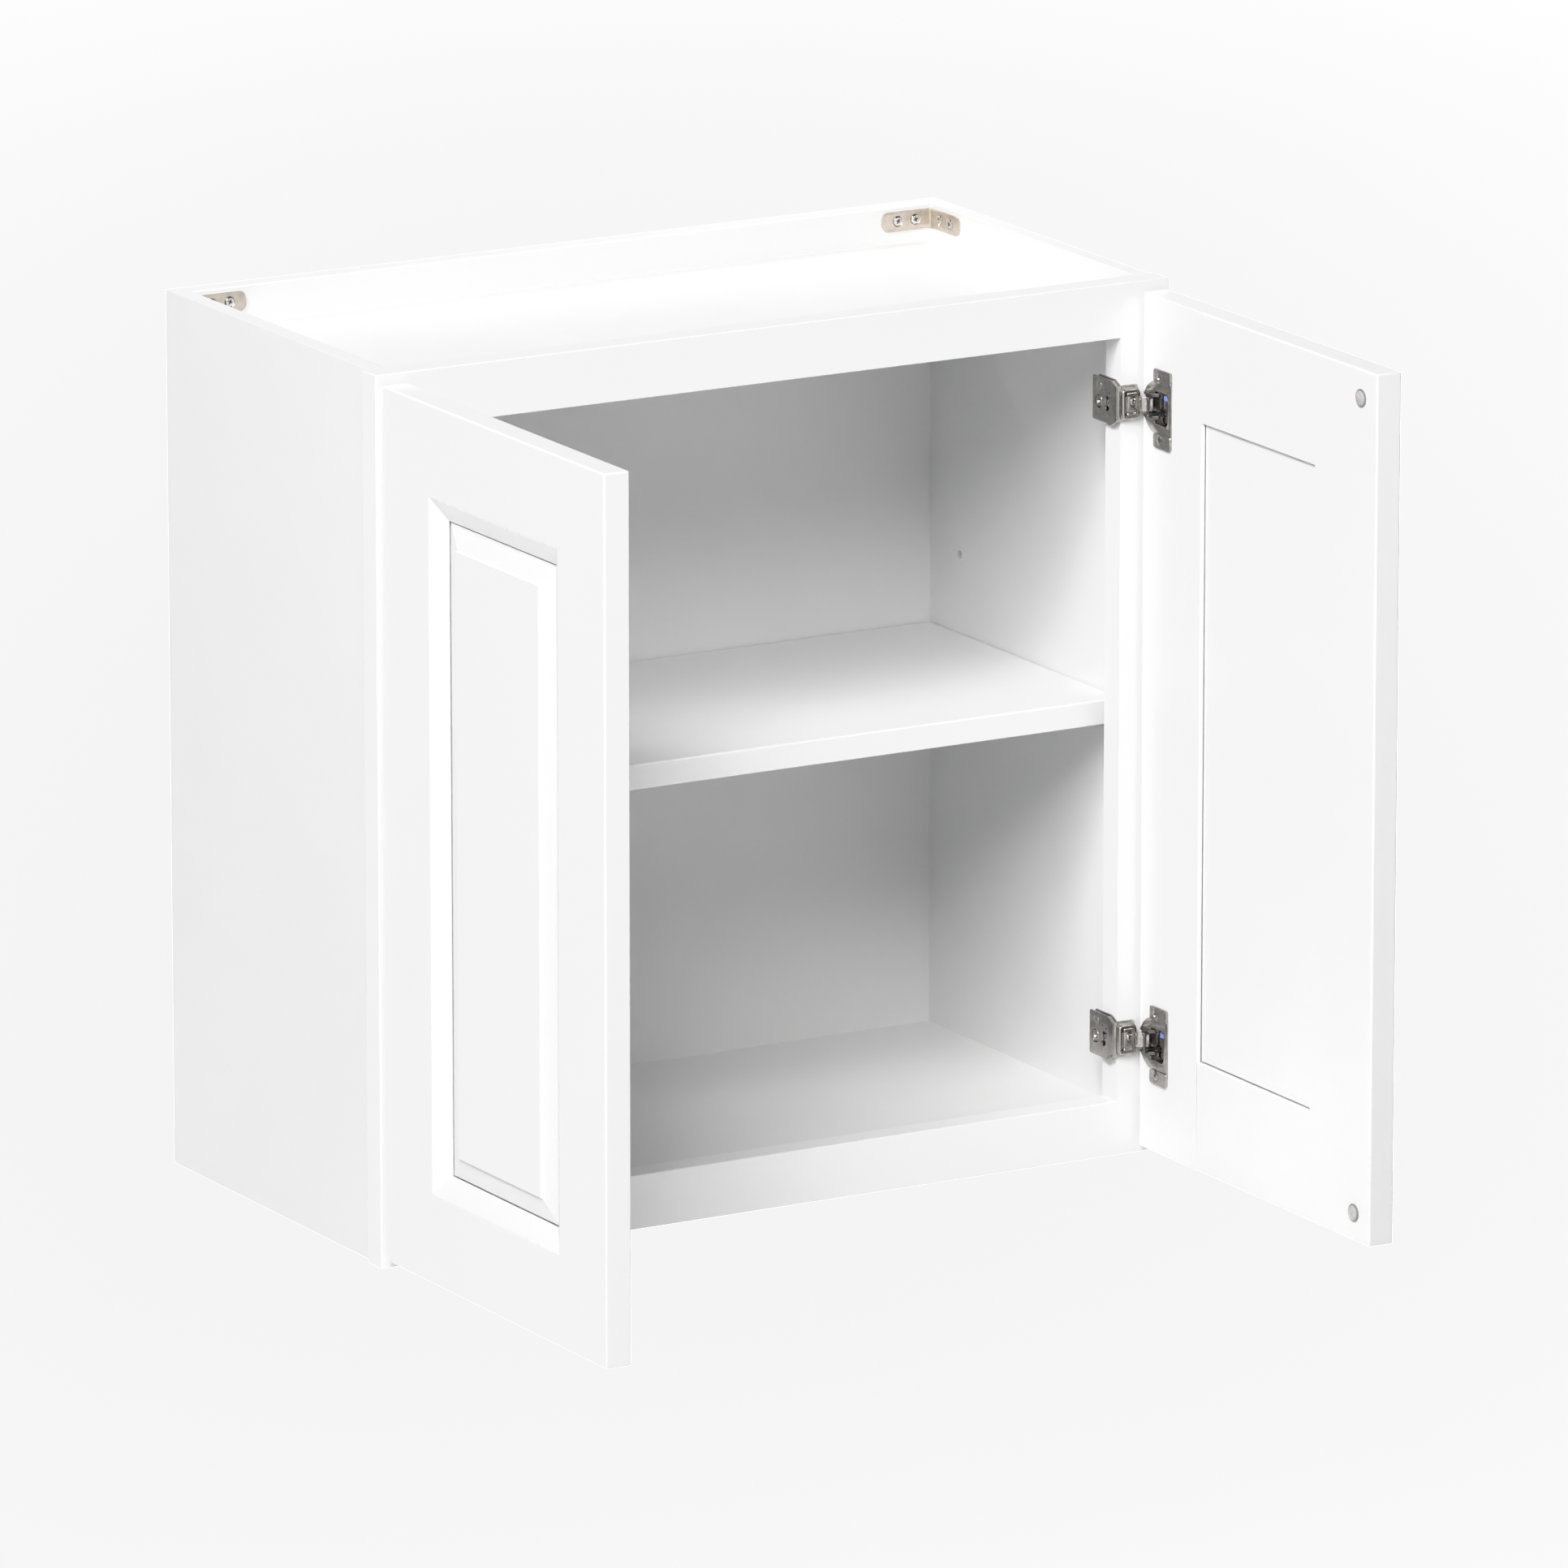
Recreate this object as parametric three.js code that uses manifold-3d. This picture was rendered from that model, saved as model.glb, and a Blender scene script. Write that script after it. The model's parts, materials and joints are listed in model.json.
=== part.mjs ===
// Hanging wall cabinet with a face frame, two raised-panel doors and an adjustable shelf.
// Millimetres, +Z up, +X to the right as seen from the front, +Y towards the wall.
// The origin is the middle of the back face, where the cabinet meets the wall.
// The doors stand open at a right angle to the front.

import * as THREE from "three";
import { mergeVertices } from "three/addons/utils/BufferGeometryUtils.js";
import Module from "manifold-3d";

const wasm = await Module();
wasm.setup();

// ---------------------------------------------------------------- driving dimensions

// Carcass
const WIDTH = 609.6;
const HEIGHT = 609.6;
const DEPTH = 304.8;
const SIDE_T = 12;
const SIDE_INSET = 4.7; // the frame stands proud of each side panel by this much
const BACK_T = 16;
const PANEL_T = 12.7; // top and bottom panels
const TOP_RECESS = 25.4; // top edge down to the top panel
const FLOOR_RISE = 25.4; // bottom edge up to the cabinet floor

// Face frame
const FRAME_T = 19.05;
const FRAME_W = 38.1;

// Shelf and its pins
const SHELF_T = 17.5;
const SHELF_TOP = 8.2; // height of its upper face above mid-height
const SHELF_SIDE_GAP = 0.8;
const SHELF_BACK_GAP = 1;
const SHELF_SETBACK = 12.35; // frame's back face to the shelf's front edge
const PIN_R = 2.5;
const PIN_DEPTH = 7; // length of the peg in the side panel
const PIN_DROP = 3.2; // shelf's underside down to the peg's axis
const PIN_COLLAR_R = 3;
const PIN_COLLAR_T = 1;
const PIN_SPOON_L = 9;
const PIN_SPOON_HALF_W = 4;
const PIN_FRONT_SETBACK = 32; // from the frame's back face
const PIN_BACK_SETBACK = 40; // from the back panel
const PIN_ROW_STEP = 76.2; // up to the row of spare holes
const PIN_HOLE_R = 2.8;
const PIN_HOLE_DEPTH = 8;

// Corner brackets in the top recess, and their screws
const CORNER_LEG = 40;
const CORNER_H = 13.2;
const CORNER_T = 1.6;
const CORNER_DROP = 3.1; // top edge down to the bracket
const CORNER_HOLES = [13.5, 27.5]; // from the corner, on each leg
const CORNER_HOLE_R = 2.1;
const CORNER_SINK_R = 3.6; // countersink at the bracket's face
const SCREW_R = 1.8;
const SCREW_GRIP = 9; // shank length in the wood
const SCREW_HEAD_R = 3.2;
const SCREW_HEAD_CONE = 1.3;
const SCREW_HEAD_CROWN = 0.4;
const SCREW_PILOT_R = 2.1;
const SCREW_PILOT_DEPTH = 10;

// Doors
const DOOR_W = 297;
const DOOR_H = 596.9;
const DOOR_T = 19.05;
const DOOR_Z = -0.5; // middle of the door's height
const DOOR_MEMBER_W = 76.2; // stiles and rails, with their moulded inner edge
const MOULDING_W = 14.6;
const MOULDING_D = 7.3;
const GROOVE_DEPTH = 9; // how far the panel groove goes into the members
const GROOVE_FRONT = 8.4; // door's outer face to the groove
const GROOVE_BACK = 16.15;
const TONGUE_FIT = 0.3; // clearance of the panel's edge in the groove
const FIELD_INSET = 16.6; // moulding to the raised field
const FIELD_DEPTH = 3; // door's outer face to the raised field
const FIELD_STEP = 1.5;
const EDGE_CHAMFER = 1.2; // eases the inner hinge corner, which passes close to the frame

// Hinge axis
const PIVOT_INBOARD = 14.6; // frame's outer edge to the axis
const PIVOT_FORWARD = 11.4; // frame's front face to the axis
const PIVOT_FROM_EDGE = 8.2; // door's hinge edge to the axis
const PIVOT_FROM_INNER = 7.85; // door's inner face to the axis
const HINGE_SPREAD = 222.2; // door's mid-height to each hinge

// Hinge cup, let into the door
const CUP_CENTRE = 20.5; // from the door's hinge edge
const CUP_R = 17.5;
const CUP_DEPTH = 11;
const CUP_CAVITY_R = 16;
const CUP_CAVITY_DEPTH = 10;
const CUP_BORE_R = 17.8;
const CUP_BORE_DEPTH = 11.3;
const FLANGE_R = 18.6;
const FLANGE_T = 1.3;
const FLANGE_END = 38.5; // from the door's hinge edge to the flange's straight side
const WING_FROM = 16.9; // wings, measured from the door's hinge edge
const WING_TO = 38.4;
const WING_HALF_H = 27.1;
const WING_CORNER_R = 2.5;
const WING_SCREW = 24.7; // from the door's hinge edge
const WING_SCREW_Z = 21.4;
const WING_HOLE_R = 2;
const OPENING_TO = 34; // the flange's opening ends here, measured from the door's hinge edge
const OPENING_HALF_H = 11.7;
const OPENING_CORNER_R = 2;
const MOUTH_TO = 6.5; // the cup is open on its hinge side, up to here
const MOUTH_HALF_H = 6.6;
const MOUTH_DEPTH = 4;
const EAR_FROM = 7.2; // ears that hold the pin
const EAR_HALF_W = 2.8;

// Hinge pin and link
const PIVOT_PIN_R = 1;
const PIVOT_PIN_HALF_L = 9;
const PIVOT_HOLE_R = 1.3;
const LINK_FROM = 5.4;
const LINK_TO = 6.6;
const LINK_HALF_W = 1.6;
const LINK_LENGTH = 14.3;
const LINK_ROD_R = 0.9;
const LINK_ANGLE = THREE.MathUtils.degToRad(28); // below the axis' inboard side, door open

// Damper in the cup
const DAMPER_R = 3.2;
const DAMPER_HALF_L = 9;
const DAMPER_FROM_EDGE = 30;
const DAMPER_DEPTH = 6.5;

// Hinge bracket, wrapped round the frame's inner edge
const WRAP_T = 4.1; // a folded double plate
const BASE_T = 1.6;
const BASE_TO = -10.7; // outboard end of the base, from the axis
const BASE_HALF_H = 12.75;
const BASE_CORNER_R = 1.5;
const BOX_FROM = -24.8;
const BOX_HALF_H = 10.3;
const BOX_FRONT = 6.4; // from the axis towards the frame
const BOX_CORNER_R = 3;
const WRAP_DEPTH = 29.6; // from the frame's front face
const WRAP_HALF_H = 15.3;
const WRAP_TAPER_FROM = 0.5;
const WRAP_TAPER_TO = 6;
const NECK_HALF_H = 5;
const NECK_HALF_T = 1.2;
const NECK_FROM = -12.6;
const NECK_TO = -11.2;
const HUB_R = 1.9;
const WRAP_HOLE_R = 2.4;

// Door bumpers
const BUMPER_R = 6.5;
const BUMPER_H = 2.7;
const BUMPER_NUB_R = 1.9;
const BUMPER_NUB_H = 0.5;
const BUMPER_INSET = 19.5; // from the door's free edge and from its ends

const ROUND = 28; // sides of a large round
const SMALL_ROUND = 10; // sides of a small round
const CURVE_STEPS = 3; // steps along each arc of a flat outline
const DOME_STEPS = 4; // steps up the side of a bumper
const CLEAR = 1; // how far a cutting tool runs past the surface it cuts

// ---------------------------------------------------------------- derived places

const HALF_W = WIDTH / 2;
const HALF_H = HEIGHT / 2;
const SIDE_OUTER = HALF_W - SIDE_INSET;
const SIDE_INNER = SIDE_OUTER - SIDE_T;
const FRAME_FRONT = -DEPTH;
const FRAME_BACK = FRAME_FRONT + FRAME_T;
const FRAME_INNER = HALF_W - FRAME_W;
const SHELF_UNDER = SHELF_TOP - SHELF_T;
const PIN_Z = SHELF_UNDER - PIN_DROP;
const PIN_ROWS = { front: FRAME_BACK + PIN_FRONT_SETBACK, back: -BACK_T - PIN_BACK_SETBACK };
const CORNER_Z = HALF_H - CORNER_DROP - CORNER_H / 2;
const PIVOT_X = HALF_W - PIVOT_INBOARD;
const PIVOT_Y = FRAME_FRONT - PIVOT_FORWARD;
const SIDES = { left: -1, right: 1 };
const ENDS = { top: 1, bottom: -1 };

// ---------------------------------------------------------------- finishes

const PAINT = { color: 0xf2f1ee, roughness: 0.38, metalness: 0 };
const NICKEL = { color: 0xc5bbaf, roughness: 0.3, metalness: 1 };
const ZINC = { color: 0xc9cacb, roughness: 0.35, metalness: 1 };
const DARK_PLASTIC = { color: 0x55575a, roughness: 0.5, metalness: 0 };
const BUMPER_GREY = { color: 0xb5b7b8, roughness: 0.45, metalness: 0 };

// ---------------------------------------------------------------- solid helpers

function solidOf(geometry) {
  const bare = geometry.clone();
  bare.deleteAttribute("normal");
  bare.deleteAttribute("uv");
  const merged = mergeVertices(bare, 1e-4);
  return new wasm.Manifold(new wasm.Mesh({
    numProp: 3,
    vertProperties: new Float32Array(merged.attributes.position.array),
    triVerts: new Uint32Array(merged.index.array),
  }));
}

function geometryOf(solid) {
  const { vertProperties, triVerts } = solid.getMesh();
  const geometry = new THREE.BufferGeometry();
  geometry.setAttribute("position", new THREE.BufferAttribute(vertProperties, 3));
  geometry.setIndex(new THREE.BufferAttribute(triVerts, 1));
  return geometry;
}

// A block between two corners. Each corner value is kept exactly, so neighbours meet without overlap.
function block(low, high) {
  const geometry = new THREE.BoxGeometry(1, 1, 1);
  const position = geometry.attributes.position;
  for (let i = 0; i < position.count; i += 1) {
    position.setXYZ(
      i,
      position.getX(i) < 0 ? low[0] : high[0],
      position.getY(i) < 0 ? low[1] : high[1],
      position.getZ(i) < 0 ? low[2] : high[2],
    );
  }
  return solidOf(geometry);
}

// A block whose cross-section changes from one rectangle to another between two X planes.
// Each rectangle is [low y, high y, low z, high z].
function taperedBlock(lowX, lowRect, highX, highRect) {
  const geometry = new THREE.BoxGeometry(1, 1, 1);
  const position = geometry.attributes.position;
  for (let i = 0; i < position.count; i += 1) {
    const rect = position.getX(i) < 0 ? lowRect : highRect;
    position.setXYZ(
      i,
      position.getX(i) < 0 ? lowX : highX,
      position.getY(i) < 0 ? rect[0] : rect[1],
      position.getZ(i) < 0 ? rect[2] : rect[3],
    );
  }
  return solidOf(geometry);
}

// A round bar along X, with its axis at (y, z).
function barX(radius, fromX, toX, y, z, sides = SMALL_ROUND) {
  const geometry = new THREE.CylinderGeometry(radius, radius, toX - fromX, sides);
  geometry.rotateZ(-Math.PI / 2);
  geometry.translate((fromX + toX) / 2, y, z);
  return solidOf(geometry);
}

// A round bar along Y, with its axis at (x, z).
function barY(radius, x, fromY, toY, z, sides = SMALL_ROUND) {
  const geometry = new THREE.CylinderGeometry(radius, radius, toY - fromY, sides);
  geometry.translate(x, (fromY + toY) / 2, z);
  return solidOf(geometry);
}

// A round bar along Z, with its axis at (x, y).
function barZ(radius, x, y, fromZ, toZ, sides = SMALL_ROUND) {
  const geometry = new THREE.CylinderGeometry(radius, radius, toZ - fromZ, sides);
  geometry.rotateX(Math.PI / 2);
  geometry.translate(x, y, (fromZ + toZ) / 2);
  return solidOf(geometry);
}

// A flat outline drawn in the (Y, Z) plane, thick from one X to another.
function plateX(outline, fromX, toX) {
  const geometry = new THREE.ExtrudeGeometry(outline, {
    depth: toX - fromX, bevelEnabled: false, curveSegments: CURVE_STEPS,
  });
  geometry.applyMatrix4(new THREE.Matrix4().makeBasis(
    new THREE.Vector3(0, 1, 0), new THREE.Vector3(0, 0, 1), new THREE.Vector3(1, 0, 0),
  ));
  geometry.translate(fromX, 0, 0);
  return solidOf(geometry);
}

// A flat outline drawn in the (Z, X) plane, thick from one Y to another.
function plateY(outline, fromY, toY) {
  const geometry = new THREE.ExtrudeGeometry(outline, {
    depth: toY - fromY, bevelEnabled: false, curveSegments: CURVE_STEPS,
  });
  geometry.applyMatrix4(new THREE.Matrix4().makeBasis(
    new THREE.Vector3(0, 0, 1), new THREE.Vector3(1, 0, 0), new THREE.Vector3(0, 1, 0),
  ));
  geometry.translate(0, fromY, 0);
  return solidOf(geometry);
}

// A flat outline drawn in the (X, Y) plane, thick from one Z to another.
function plateZ(outline, fromZ, toZ) {
  const geometry = new THREE.ExtrudeGeometry(outline, {
    depth: toZ - fromZ, bevelEnabled: false, curveSegments: CURVE_STEPS,
  });
  geometry.translate(0, 0, fromZ);
  return solidOf(geometry);
}

function polygon(points) {
  return new THREE.Shape(points.map(([x, y]) => new THREE.Vector2(x, y)));
}

function roundedRectangle(x0, x1, y0, y1, r) {
  const shape = new THREE.Shape();
  shape.moveTo(x0 + r, y0);
  shape.absarc(x1 - r, y0 + r, r, -Math.PI / 2, 0, false);
  shape.absarc(x1 - r, y1 - r, r, 0, Math.PI / 2, false);
  shape.absarc(x0 + r, y1 - r, r, Math.PI / 2, Math.PI, false);
  shape.absarc(x0 + r, y0 + r, r, Math.PI, 1.5 * Math.PI, false);
  return shape;
}

// A solid of revolution about +Z from [radius, height] points, closed on the axis at both ends.
function turned(profile, sides = SMALL_ROUND) {
  const first = profile[0][1];
  const last = profile[profile.length - 1][1];
  const points = [[0, first], ...profile, [0, last]].map(([r, z]) => new THREE.Vector2(r, z));
  const geometry = new THREE.LatheGeometry(points, sides);
  geometry.rotateX(Math.PI / 2);
  return solidOf(geometry);
}

// Reflects a geometry in the plane X = 0 and turns its faces outwards again.
function mirrored(geometry) {
  const copy = geometry.clone();
  const position = copy.attributes.position;
  for (let i = 0; i < position.count; i += 1) {
    position.setX(i, -position.getX(i));
  }
  const index = copy.index;
  for (let i = 0; i < index.count; i += 3) {
    const second = index.getX(i + 1);
    index.setX(i + 1, index.getX(i + 2));
    index.setX(i + 2, second);
  }
  return copy;
}

// A named mesh of a solid that is drawn for the right-hand side; sign -1 gives its left-hand twin.
function piece(name, solid, finish, sign = 1) {
  const right = geometryOf(solid);
  const geometry = sign < 0 ? mirrored(right) : right;
  geometry.computeVertexNormals();
  const mesh = new THREE.Mesh(geometry, new THREE.MeshStandardMaterial(finish));
  mesh.name = name;
  return mesh;
}

// ---------------------------------------------------------------- carcass

// Blind holes in a side panel: two pin rows, and the pilots of two corner screws.
function sidePanel() {
  let panel = block([SIDE_INNER, FRAME_BACK, -HALF_H], [SIDE_OUTER, 0, HALF_H]);
  const holeEnd = SIDE_INNER + PIN_HOLE_DEPTH;
  for (const y of Object.values(PIN_ROWS)) {
    for (const z of [PIN_Z, PIN_Z + PIN_ROW_STEP]) {
      panel = panel.subtract(barX(PIN_HOLE_R, SIDE_INNER - CLEAR, holeEnd, y, z));
    }
  }
  for (const reach of CORNER_HOLES) {
    const y = -BACK_T - reach;
    const end = SIDE_INNER + SCREW_PILOT_DEPTH;
    panel = panel.subtract(barX(SCREW_PILOT_R, SIDE_INNER - CLEAR, end, y, CORNER_Z));
  }
  return panel;
}

function backPanel() {
  let panel = block([-SIDE_INNER, -BACK_T, -HALF_H], [SIDE_INNER, 0, HALF_H]);
  for (const sign of Object.values(SIDES)) {
    for (const reach of CORNER_HOLES) {
      const x = sign * (SIDE_INNER - reach);
      const end = -BACK_T + SCREW_PILOT_DEPTH;
      panel = panel.subtract(barY(SCREW_PILOT_R, x, -BACK_T - CLEAR, end, CORNER_Z));
    }
  }
  return panel;
}

function makeCarcass() {
  const group = new THREE.Group();
  for (const [side, sign] of Object.entries(SIDES)) {
    group.add(piece(`side_${side}`, sidePanel(), PAINT, sign));
  }
  const topFace = HALF_H - TOP_RECESS;
  const floorFace = -HALF_H + FLOOR_RISE;
  group.add(piece("back_panel", backPanel(), PAINT));
  group.add(piece("top_panel", block(
    [-SIDE_INNER, FRAME_BACK, topFace - PANEL_T], [SIDE_INNER, -BACK_T, topFace],
  ), PAINT));
  group.add(piece("bottom_panel", block(
    [-SIDE_INNER, FRAME_BACK, floorFace - PANEL_T], [SIDE_INNER, -BACK_T, floorFace],
  ), PAINT));
  return group;
}

function makeFaceFrame() {
  const group = new THREE.Group();
  for (const [side, sign] of Object.entries(SIDES)) {
    const stile = block([FRAME_INNER, FRAME_FRONT, -HALF_H], [HALF_W, FRAME_BACK, HALF_H]);
    group.add(piece(`frame_stile_${side}`, stile, PAINT, sign));
  }
  group.add(piece("frame_rail_top", block(
    [-FRAME_INNER, FRAME_FRONT, HALF_H - FRAME_W], [FRAME_INNER, FRAME_BACK, HALF_H],
  ), PAINT));
  group.add(piece("frame_rail_bottom", block(
    [-FRAME_INNER, FRAME_FRONT, -HALF_H], [FRAME_INNER, FRAME_BACK, FRAME_W - HALF_H],
  ), PAINT));
  return group;
}

// ---------------------------------------------------------------- shelf

// A spoon pin for the right-hand panel: a peg, a collar, and a spoon with a flat top under the shelf.
function shelfPin() {
  const peg = barX(PIN_R, -PIN_COLLAR_T / 2, PIN_DEPTH, 0, 0);
  const collar = barX(PIN_COLLAR_R, -PIN_COLLAR_T, 0, 0, 0);
  const spoon = new THREE.Shape();
  spoon.moveTo(PIN_SPOON_HALF_W, PIN_DROP);
  spoon.lineTo(-PIN_SPOON_HALF_W, PIN_DROP);
  spoon.lineTo(-PIN_SPOON_HALF_W, PIN_DROP - 1);
  spoon.absarc(0, 0, PIN_R, Math.PI, 2 * Math.PI, false);
  spoon.lineTo(PIN_SPOON_HALF_W, PIN_DROP - 1);
  return peg.add(collar).add(plateX(spoon, -PIN_COLLAR_T - PIN_SPOON_L, -PIN_COLLAR_T / 2));
}

function makeShelf() {
  const group = new THREE.Group();
  const halfWidth = SIDE_INNER - SHELF_SIDE_GAP;
  group.add(piece("shelf", block(
    [-halfWidth, FRAME_BACK + SHELF_SETBACK, SHELF_UNDER],
    [halfWidth, -BACK_T - SHELF_BACK_GAP, SHELF_TOP],
  ), PAINT));
  for (const [side, sign] of Object.entries(SIDES)) {
    for (const [row, y] of Object.entries(PIN_ROWS)) {
      const pin = piece(`shelf_pin_${side}_${row}`, shelfPin(), ZINC, sign);
      pin.position.set(sign * SIDE_INNER, y, PIN_Z);
      group.add(pin);
    }
  }
  return group;
}

// ---------------------------------------------------------------- corner brackets

// One leg of a corner bracket: a strip along Y from the corner at 0 to a rounded end.
function legOutline() {
  const r = CORNER_H / 2;
  const shape = new THREE.Shape();
  shape.moveTo(0, -r);
  shape.lineTo(0, r);
  shape.absarc(r - CORNER_LEG, 0, r, Math.PI / 2, 1.5 * Math.PI, false);
  return shape;
}

// A countersunk hole along +Z, from the back of a bracket at -CORNER_T to its face at 0.
function countersink() {
  const slope = (CORNER_SINK_R - CORNER_HOLE_R) / CORNER_T;
  return turned([
    [CORNER_HOLE_R - slope * CLEAR, -CORNER_T - CLEAR],
    [CORNER_SINK_R + slope * CLEAR, CLEAR],
  ]);
}

// The rear right-hand corner bracket. Its outer corner is at the origin.
function cornerBracket() {
  const strip = geometryOf(plateX(legOutline(), -CORNER_T, 0));
  const turnedStrip = strip.clone();
  turnedStrip.rotateZ(-Math.PI / 2);
  turnedStrip.translate(0, -CORNER_T, 0);
  let bracket = solidOf(strip).add(solidOf(turnedStrip));
  for (const reach of CORNER_HOLES) {
    const onSide = geometryOf(countersink());
    onSide.rotateY(-Math.PI / 2);
    onSide.translate(-CORNER_T, -reach, 0);
    const onBack = geometryOf(countersink());
    onBack.rotateX(Math.PI / 2);
    onBack.translate(-reach, -CORNER_T, 0);
    bracket = bracket.subtract(solidOf(onSide)).subtract(solidOf(onBack));
  }
  return bracket;
}

// A countersunk screw along +Z, with the rim of its head at 0.
function countersunkScrew() {
  const tip = -SCREW_GRIP - CORNER_T;
  return turned([
    [SCREW_R / 3, tip],
    [SCREW_R, tip + SCREW_R * 1.5],
    [SCREW_R, -SCREW_HEAD_CONE],
    [SCREW_HEAD_R, 0],
    [SCREW_HEAD_R * 0.6, SCREW_HEAD_CROWN],
  ]);
}

function makeCornerBrackets() {
  const group = new THREE.Group();
  const screw = countersunkScrew();
  for (const [side, sign] of Object.entries(SIDES)) {
    const bracket = piece(`corner_bracket_${side}`, cornerBracket(), NICKEL, sign);
    bracket.position.set(sign * SIDE_INNER, -BACK_T, CORNER_Z);
    group.add(bracket);
    CORNER_HOLES.forEach((reach, i) => {
      const onSide = piece(`corner_screw_${side}_side_${i + 1}`, screw, ZINC);
      onSide.position.set(sign * (SIDE_INNER - CORNER_T), -BACK_T - reach, CORNER_Z);
      onSide.rotation.y = -sign * Math.PI / 2;
      const onBack = piece(`corner_screw_${side}_back_${i + 1}`, screw, ZINC);
      onBack.position.set(sign * (SIDE_INNER - reach), -BACK_T - CORNER_T, CORNER_Z);
      onBack.rotation.x = Math.PI / 2;
      group.add(onSide, onBack);
    });
  }
  return group;
}

// ---------------------------------------------------------------- doors
// Door coordinates: the origin is on the hinge axis at the cabinet's mid-height. The open door
// reaches from its hinge edge towards -Y, with its inner face towards the cabinet's middle.

const DOOR_INNER = -PIVOT_FROM_INNER;
const DOOR_OUTER = DOOR_INNER + DOOR_T;
const DOOR_EDGE = PIVOT_FROM_EDGE;
const DOOR_FREE = DOOR_EDGE - DOOR_W;

// The rectangle that lies a given distance inside the door's outline.
function inset(distance) {
  return [
    DOOR_FREE + distance, DOOR_EDGE - distance,
    DOOR_Z - DOOR_H / 2 + distance, DOOR_Z + DOOR_H / 2 - distance,
  ];
}

function insetBlock(distance, fromDepth, toDepth) {
  const [y0, y1, z0, z1] = inset(distance);
  return block([DOOR_OUTER - toDepth, y0, z0], [DOOR_OUTER - fromDepth, y1, z1]);
}

function insetTaper(backInset, backDepth, frontInset, frontDepth) {
  return taperedBlock(
    DOOR_OUTER - backDepth, inset(backInset), DOOR_OUTER - frontDepth, inset(frontInset),
  );
}

// Everything the moulded inner edge and the panel groove take out of the stiles and rails.
function doorCutter() {
  const slope = MOULDING_W / MOULDING_D;
  const flat = DOOR_MEMBER_W - MOULDING_W;
  return insetTaper(DOOR_MEMBER_W, MOULDING_D, flat - CLEAR * slope, -CLEAR)
    .add(insetBlock(DOOR_MEMBER_W, -CLEAR, DOOR_T + CLEAR))
    .add(insetBlock(DOOR_MEMBER_W - GROOVE_DEPTH, GROOVE_FRONT, GROOVE_BACK));
}

function raisedPanel() {
  const edge = DOOR_MEMBER_W - GROOVE_DEPTH + TONGUE_FIT;
  const front = GROOVE_FRONT + TONGUE_FIT;
  const field = DOOR_MEMBER_W + FIELD_INSET;
  const bevelEnd = FIELD_DEPTH + FIELD_STEP;
  return insetBlock(edge, front, GROOVE_BACK - TONGUE_FIT)
    .add(insetTaper(DOOR_MEMBER_W + TONGUE_FIT, front, field, bevelEnd))
    .add(insetBlock(field, FIELD_DEPTH, front));
}

function hingeStile(cutter) {
  const [, , z0, z1] = inset(0);
  let stile = block([DOOR_INNER, DOOR_EDGE - DOOR_MEMBER_W, z0], [DOOR_OUTER, DOOR_EDGE, z1]);
  stile = stile.subtract(cutter);
  stile = stile.subtract(plateZ(polygon([
    [DOOR_INNER - CLEAR, DOOR_EDGE - EDGE_CHAMFER - CLEAR],
    [DOOR_INNER + EDGE_CHAMFER + CLEAR, DOOR_EDGE + CLEAR],
    [DOOR_INNER - CLEAR, DOOR_EDGE + CLEAR],
  ]), z0 - CLEAR, z1 + CLEAR));
  for (const end of Object.values(ENDS)) {
    stile = stile.subtract(barX(
      CUP_BORE_R, DOOR_INNER - CLEAR, DOOR_INNER + CUP_BORE_DEPTH,
      DOOR_EDGE - CUP_CENTRE, DOOR_Z + end * HINGE_SPREAD, ROUND,
    ));
  }
  return stile;
}

// A bumper along +Z: a low dome with a small nub in the middle.
function bumperDome() {
  const profile = [];
  for (let i = 0; i < DOME_STEPS; i += 1) {
    const angle = (i / DOME_STEPS) * (Math.PI / 2);
    profile.push([BUMPER_R * Math.cos(angle), BUMPER_H * Math.sin(angle)]);
  }
  profile.push([BUMPER_NUB_R, BUMPER_H], [BUMPER_NUB_R, BUMPER_H + BUMPER_NUB_H]);
  return turned(profile);
}

function makeDoor(side, sign) {
  const group = new THREE.Group();
  group.position.set(sign * PIVOT_X, PIVOT_Y, 0);
  const cutter = doorCutter();
  const [y0, y1, z0, z1] = inset(0);
  const railFrom = y0 + DOOR_MEMBER_W;
  const railTo = y1 - DOOR_MEMBER_W;
  const outerStile = block([DOOR_INNER, y0, z0], [DOOR_OUTER, railFrom, z1]);
  const topRail = block([DOOR_INNER, railFrom, z1 - DOOR_MEMBER_W], [DOOR_OUTER, railTo, z1]);
  const bottomRail = block([DOOR_INNER, railFrom, z0], [DOOR_OUTER, railTo, z0 + DOOR_MEMBER_W]);
  group.add(
    piece(`${side}_door_stile_hinge`, hingeStile(cutter), PAINT, sign),
    piece(`${side}_door_stile_free`, outerStile.subtract(cutter), PAINT, sign),
    piece(`${side}_door_rail_top`, topRail.subtract(cutter), PAINT, sign),
    piece(`${side}_door_rail_bottom`, bottomRail.subtract(cutter), PAINT, sign),
    piece(`${side}_door_panel`, raisedPanel(), PAINT, sign),
  );
  const dome = bumperDome();
  for (const [end, up] of Object.entries(ENDS)) {
    const bumper = piece(`${side}_bumper_${end}`, dome, BUMPER_GREY);
    const z = DOOR_Z + up * (DOOR_H / 2 - BUMPER_INSET);
    bumper.position.set(sign * DOOR_INNER, DOOR_FREE + BUMPER_INSET, z);
    bumper.rotation.y = -sign * Math.PI / 2;
    group.add(bumper);
  }
  return group;
}

// ---------------------------------------------------------------- hinges
// Hinge coordinates: the origin is on the hinge axis, at the hinge's own mid-height.

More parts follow.
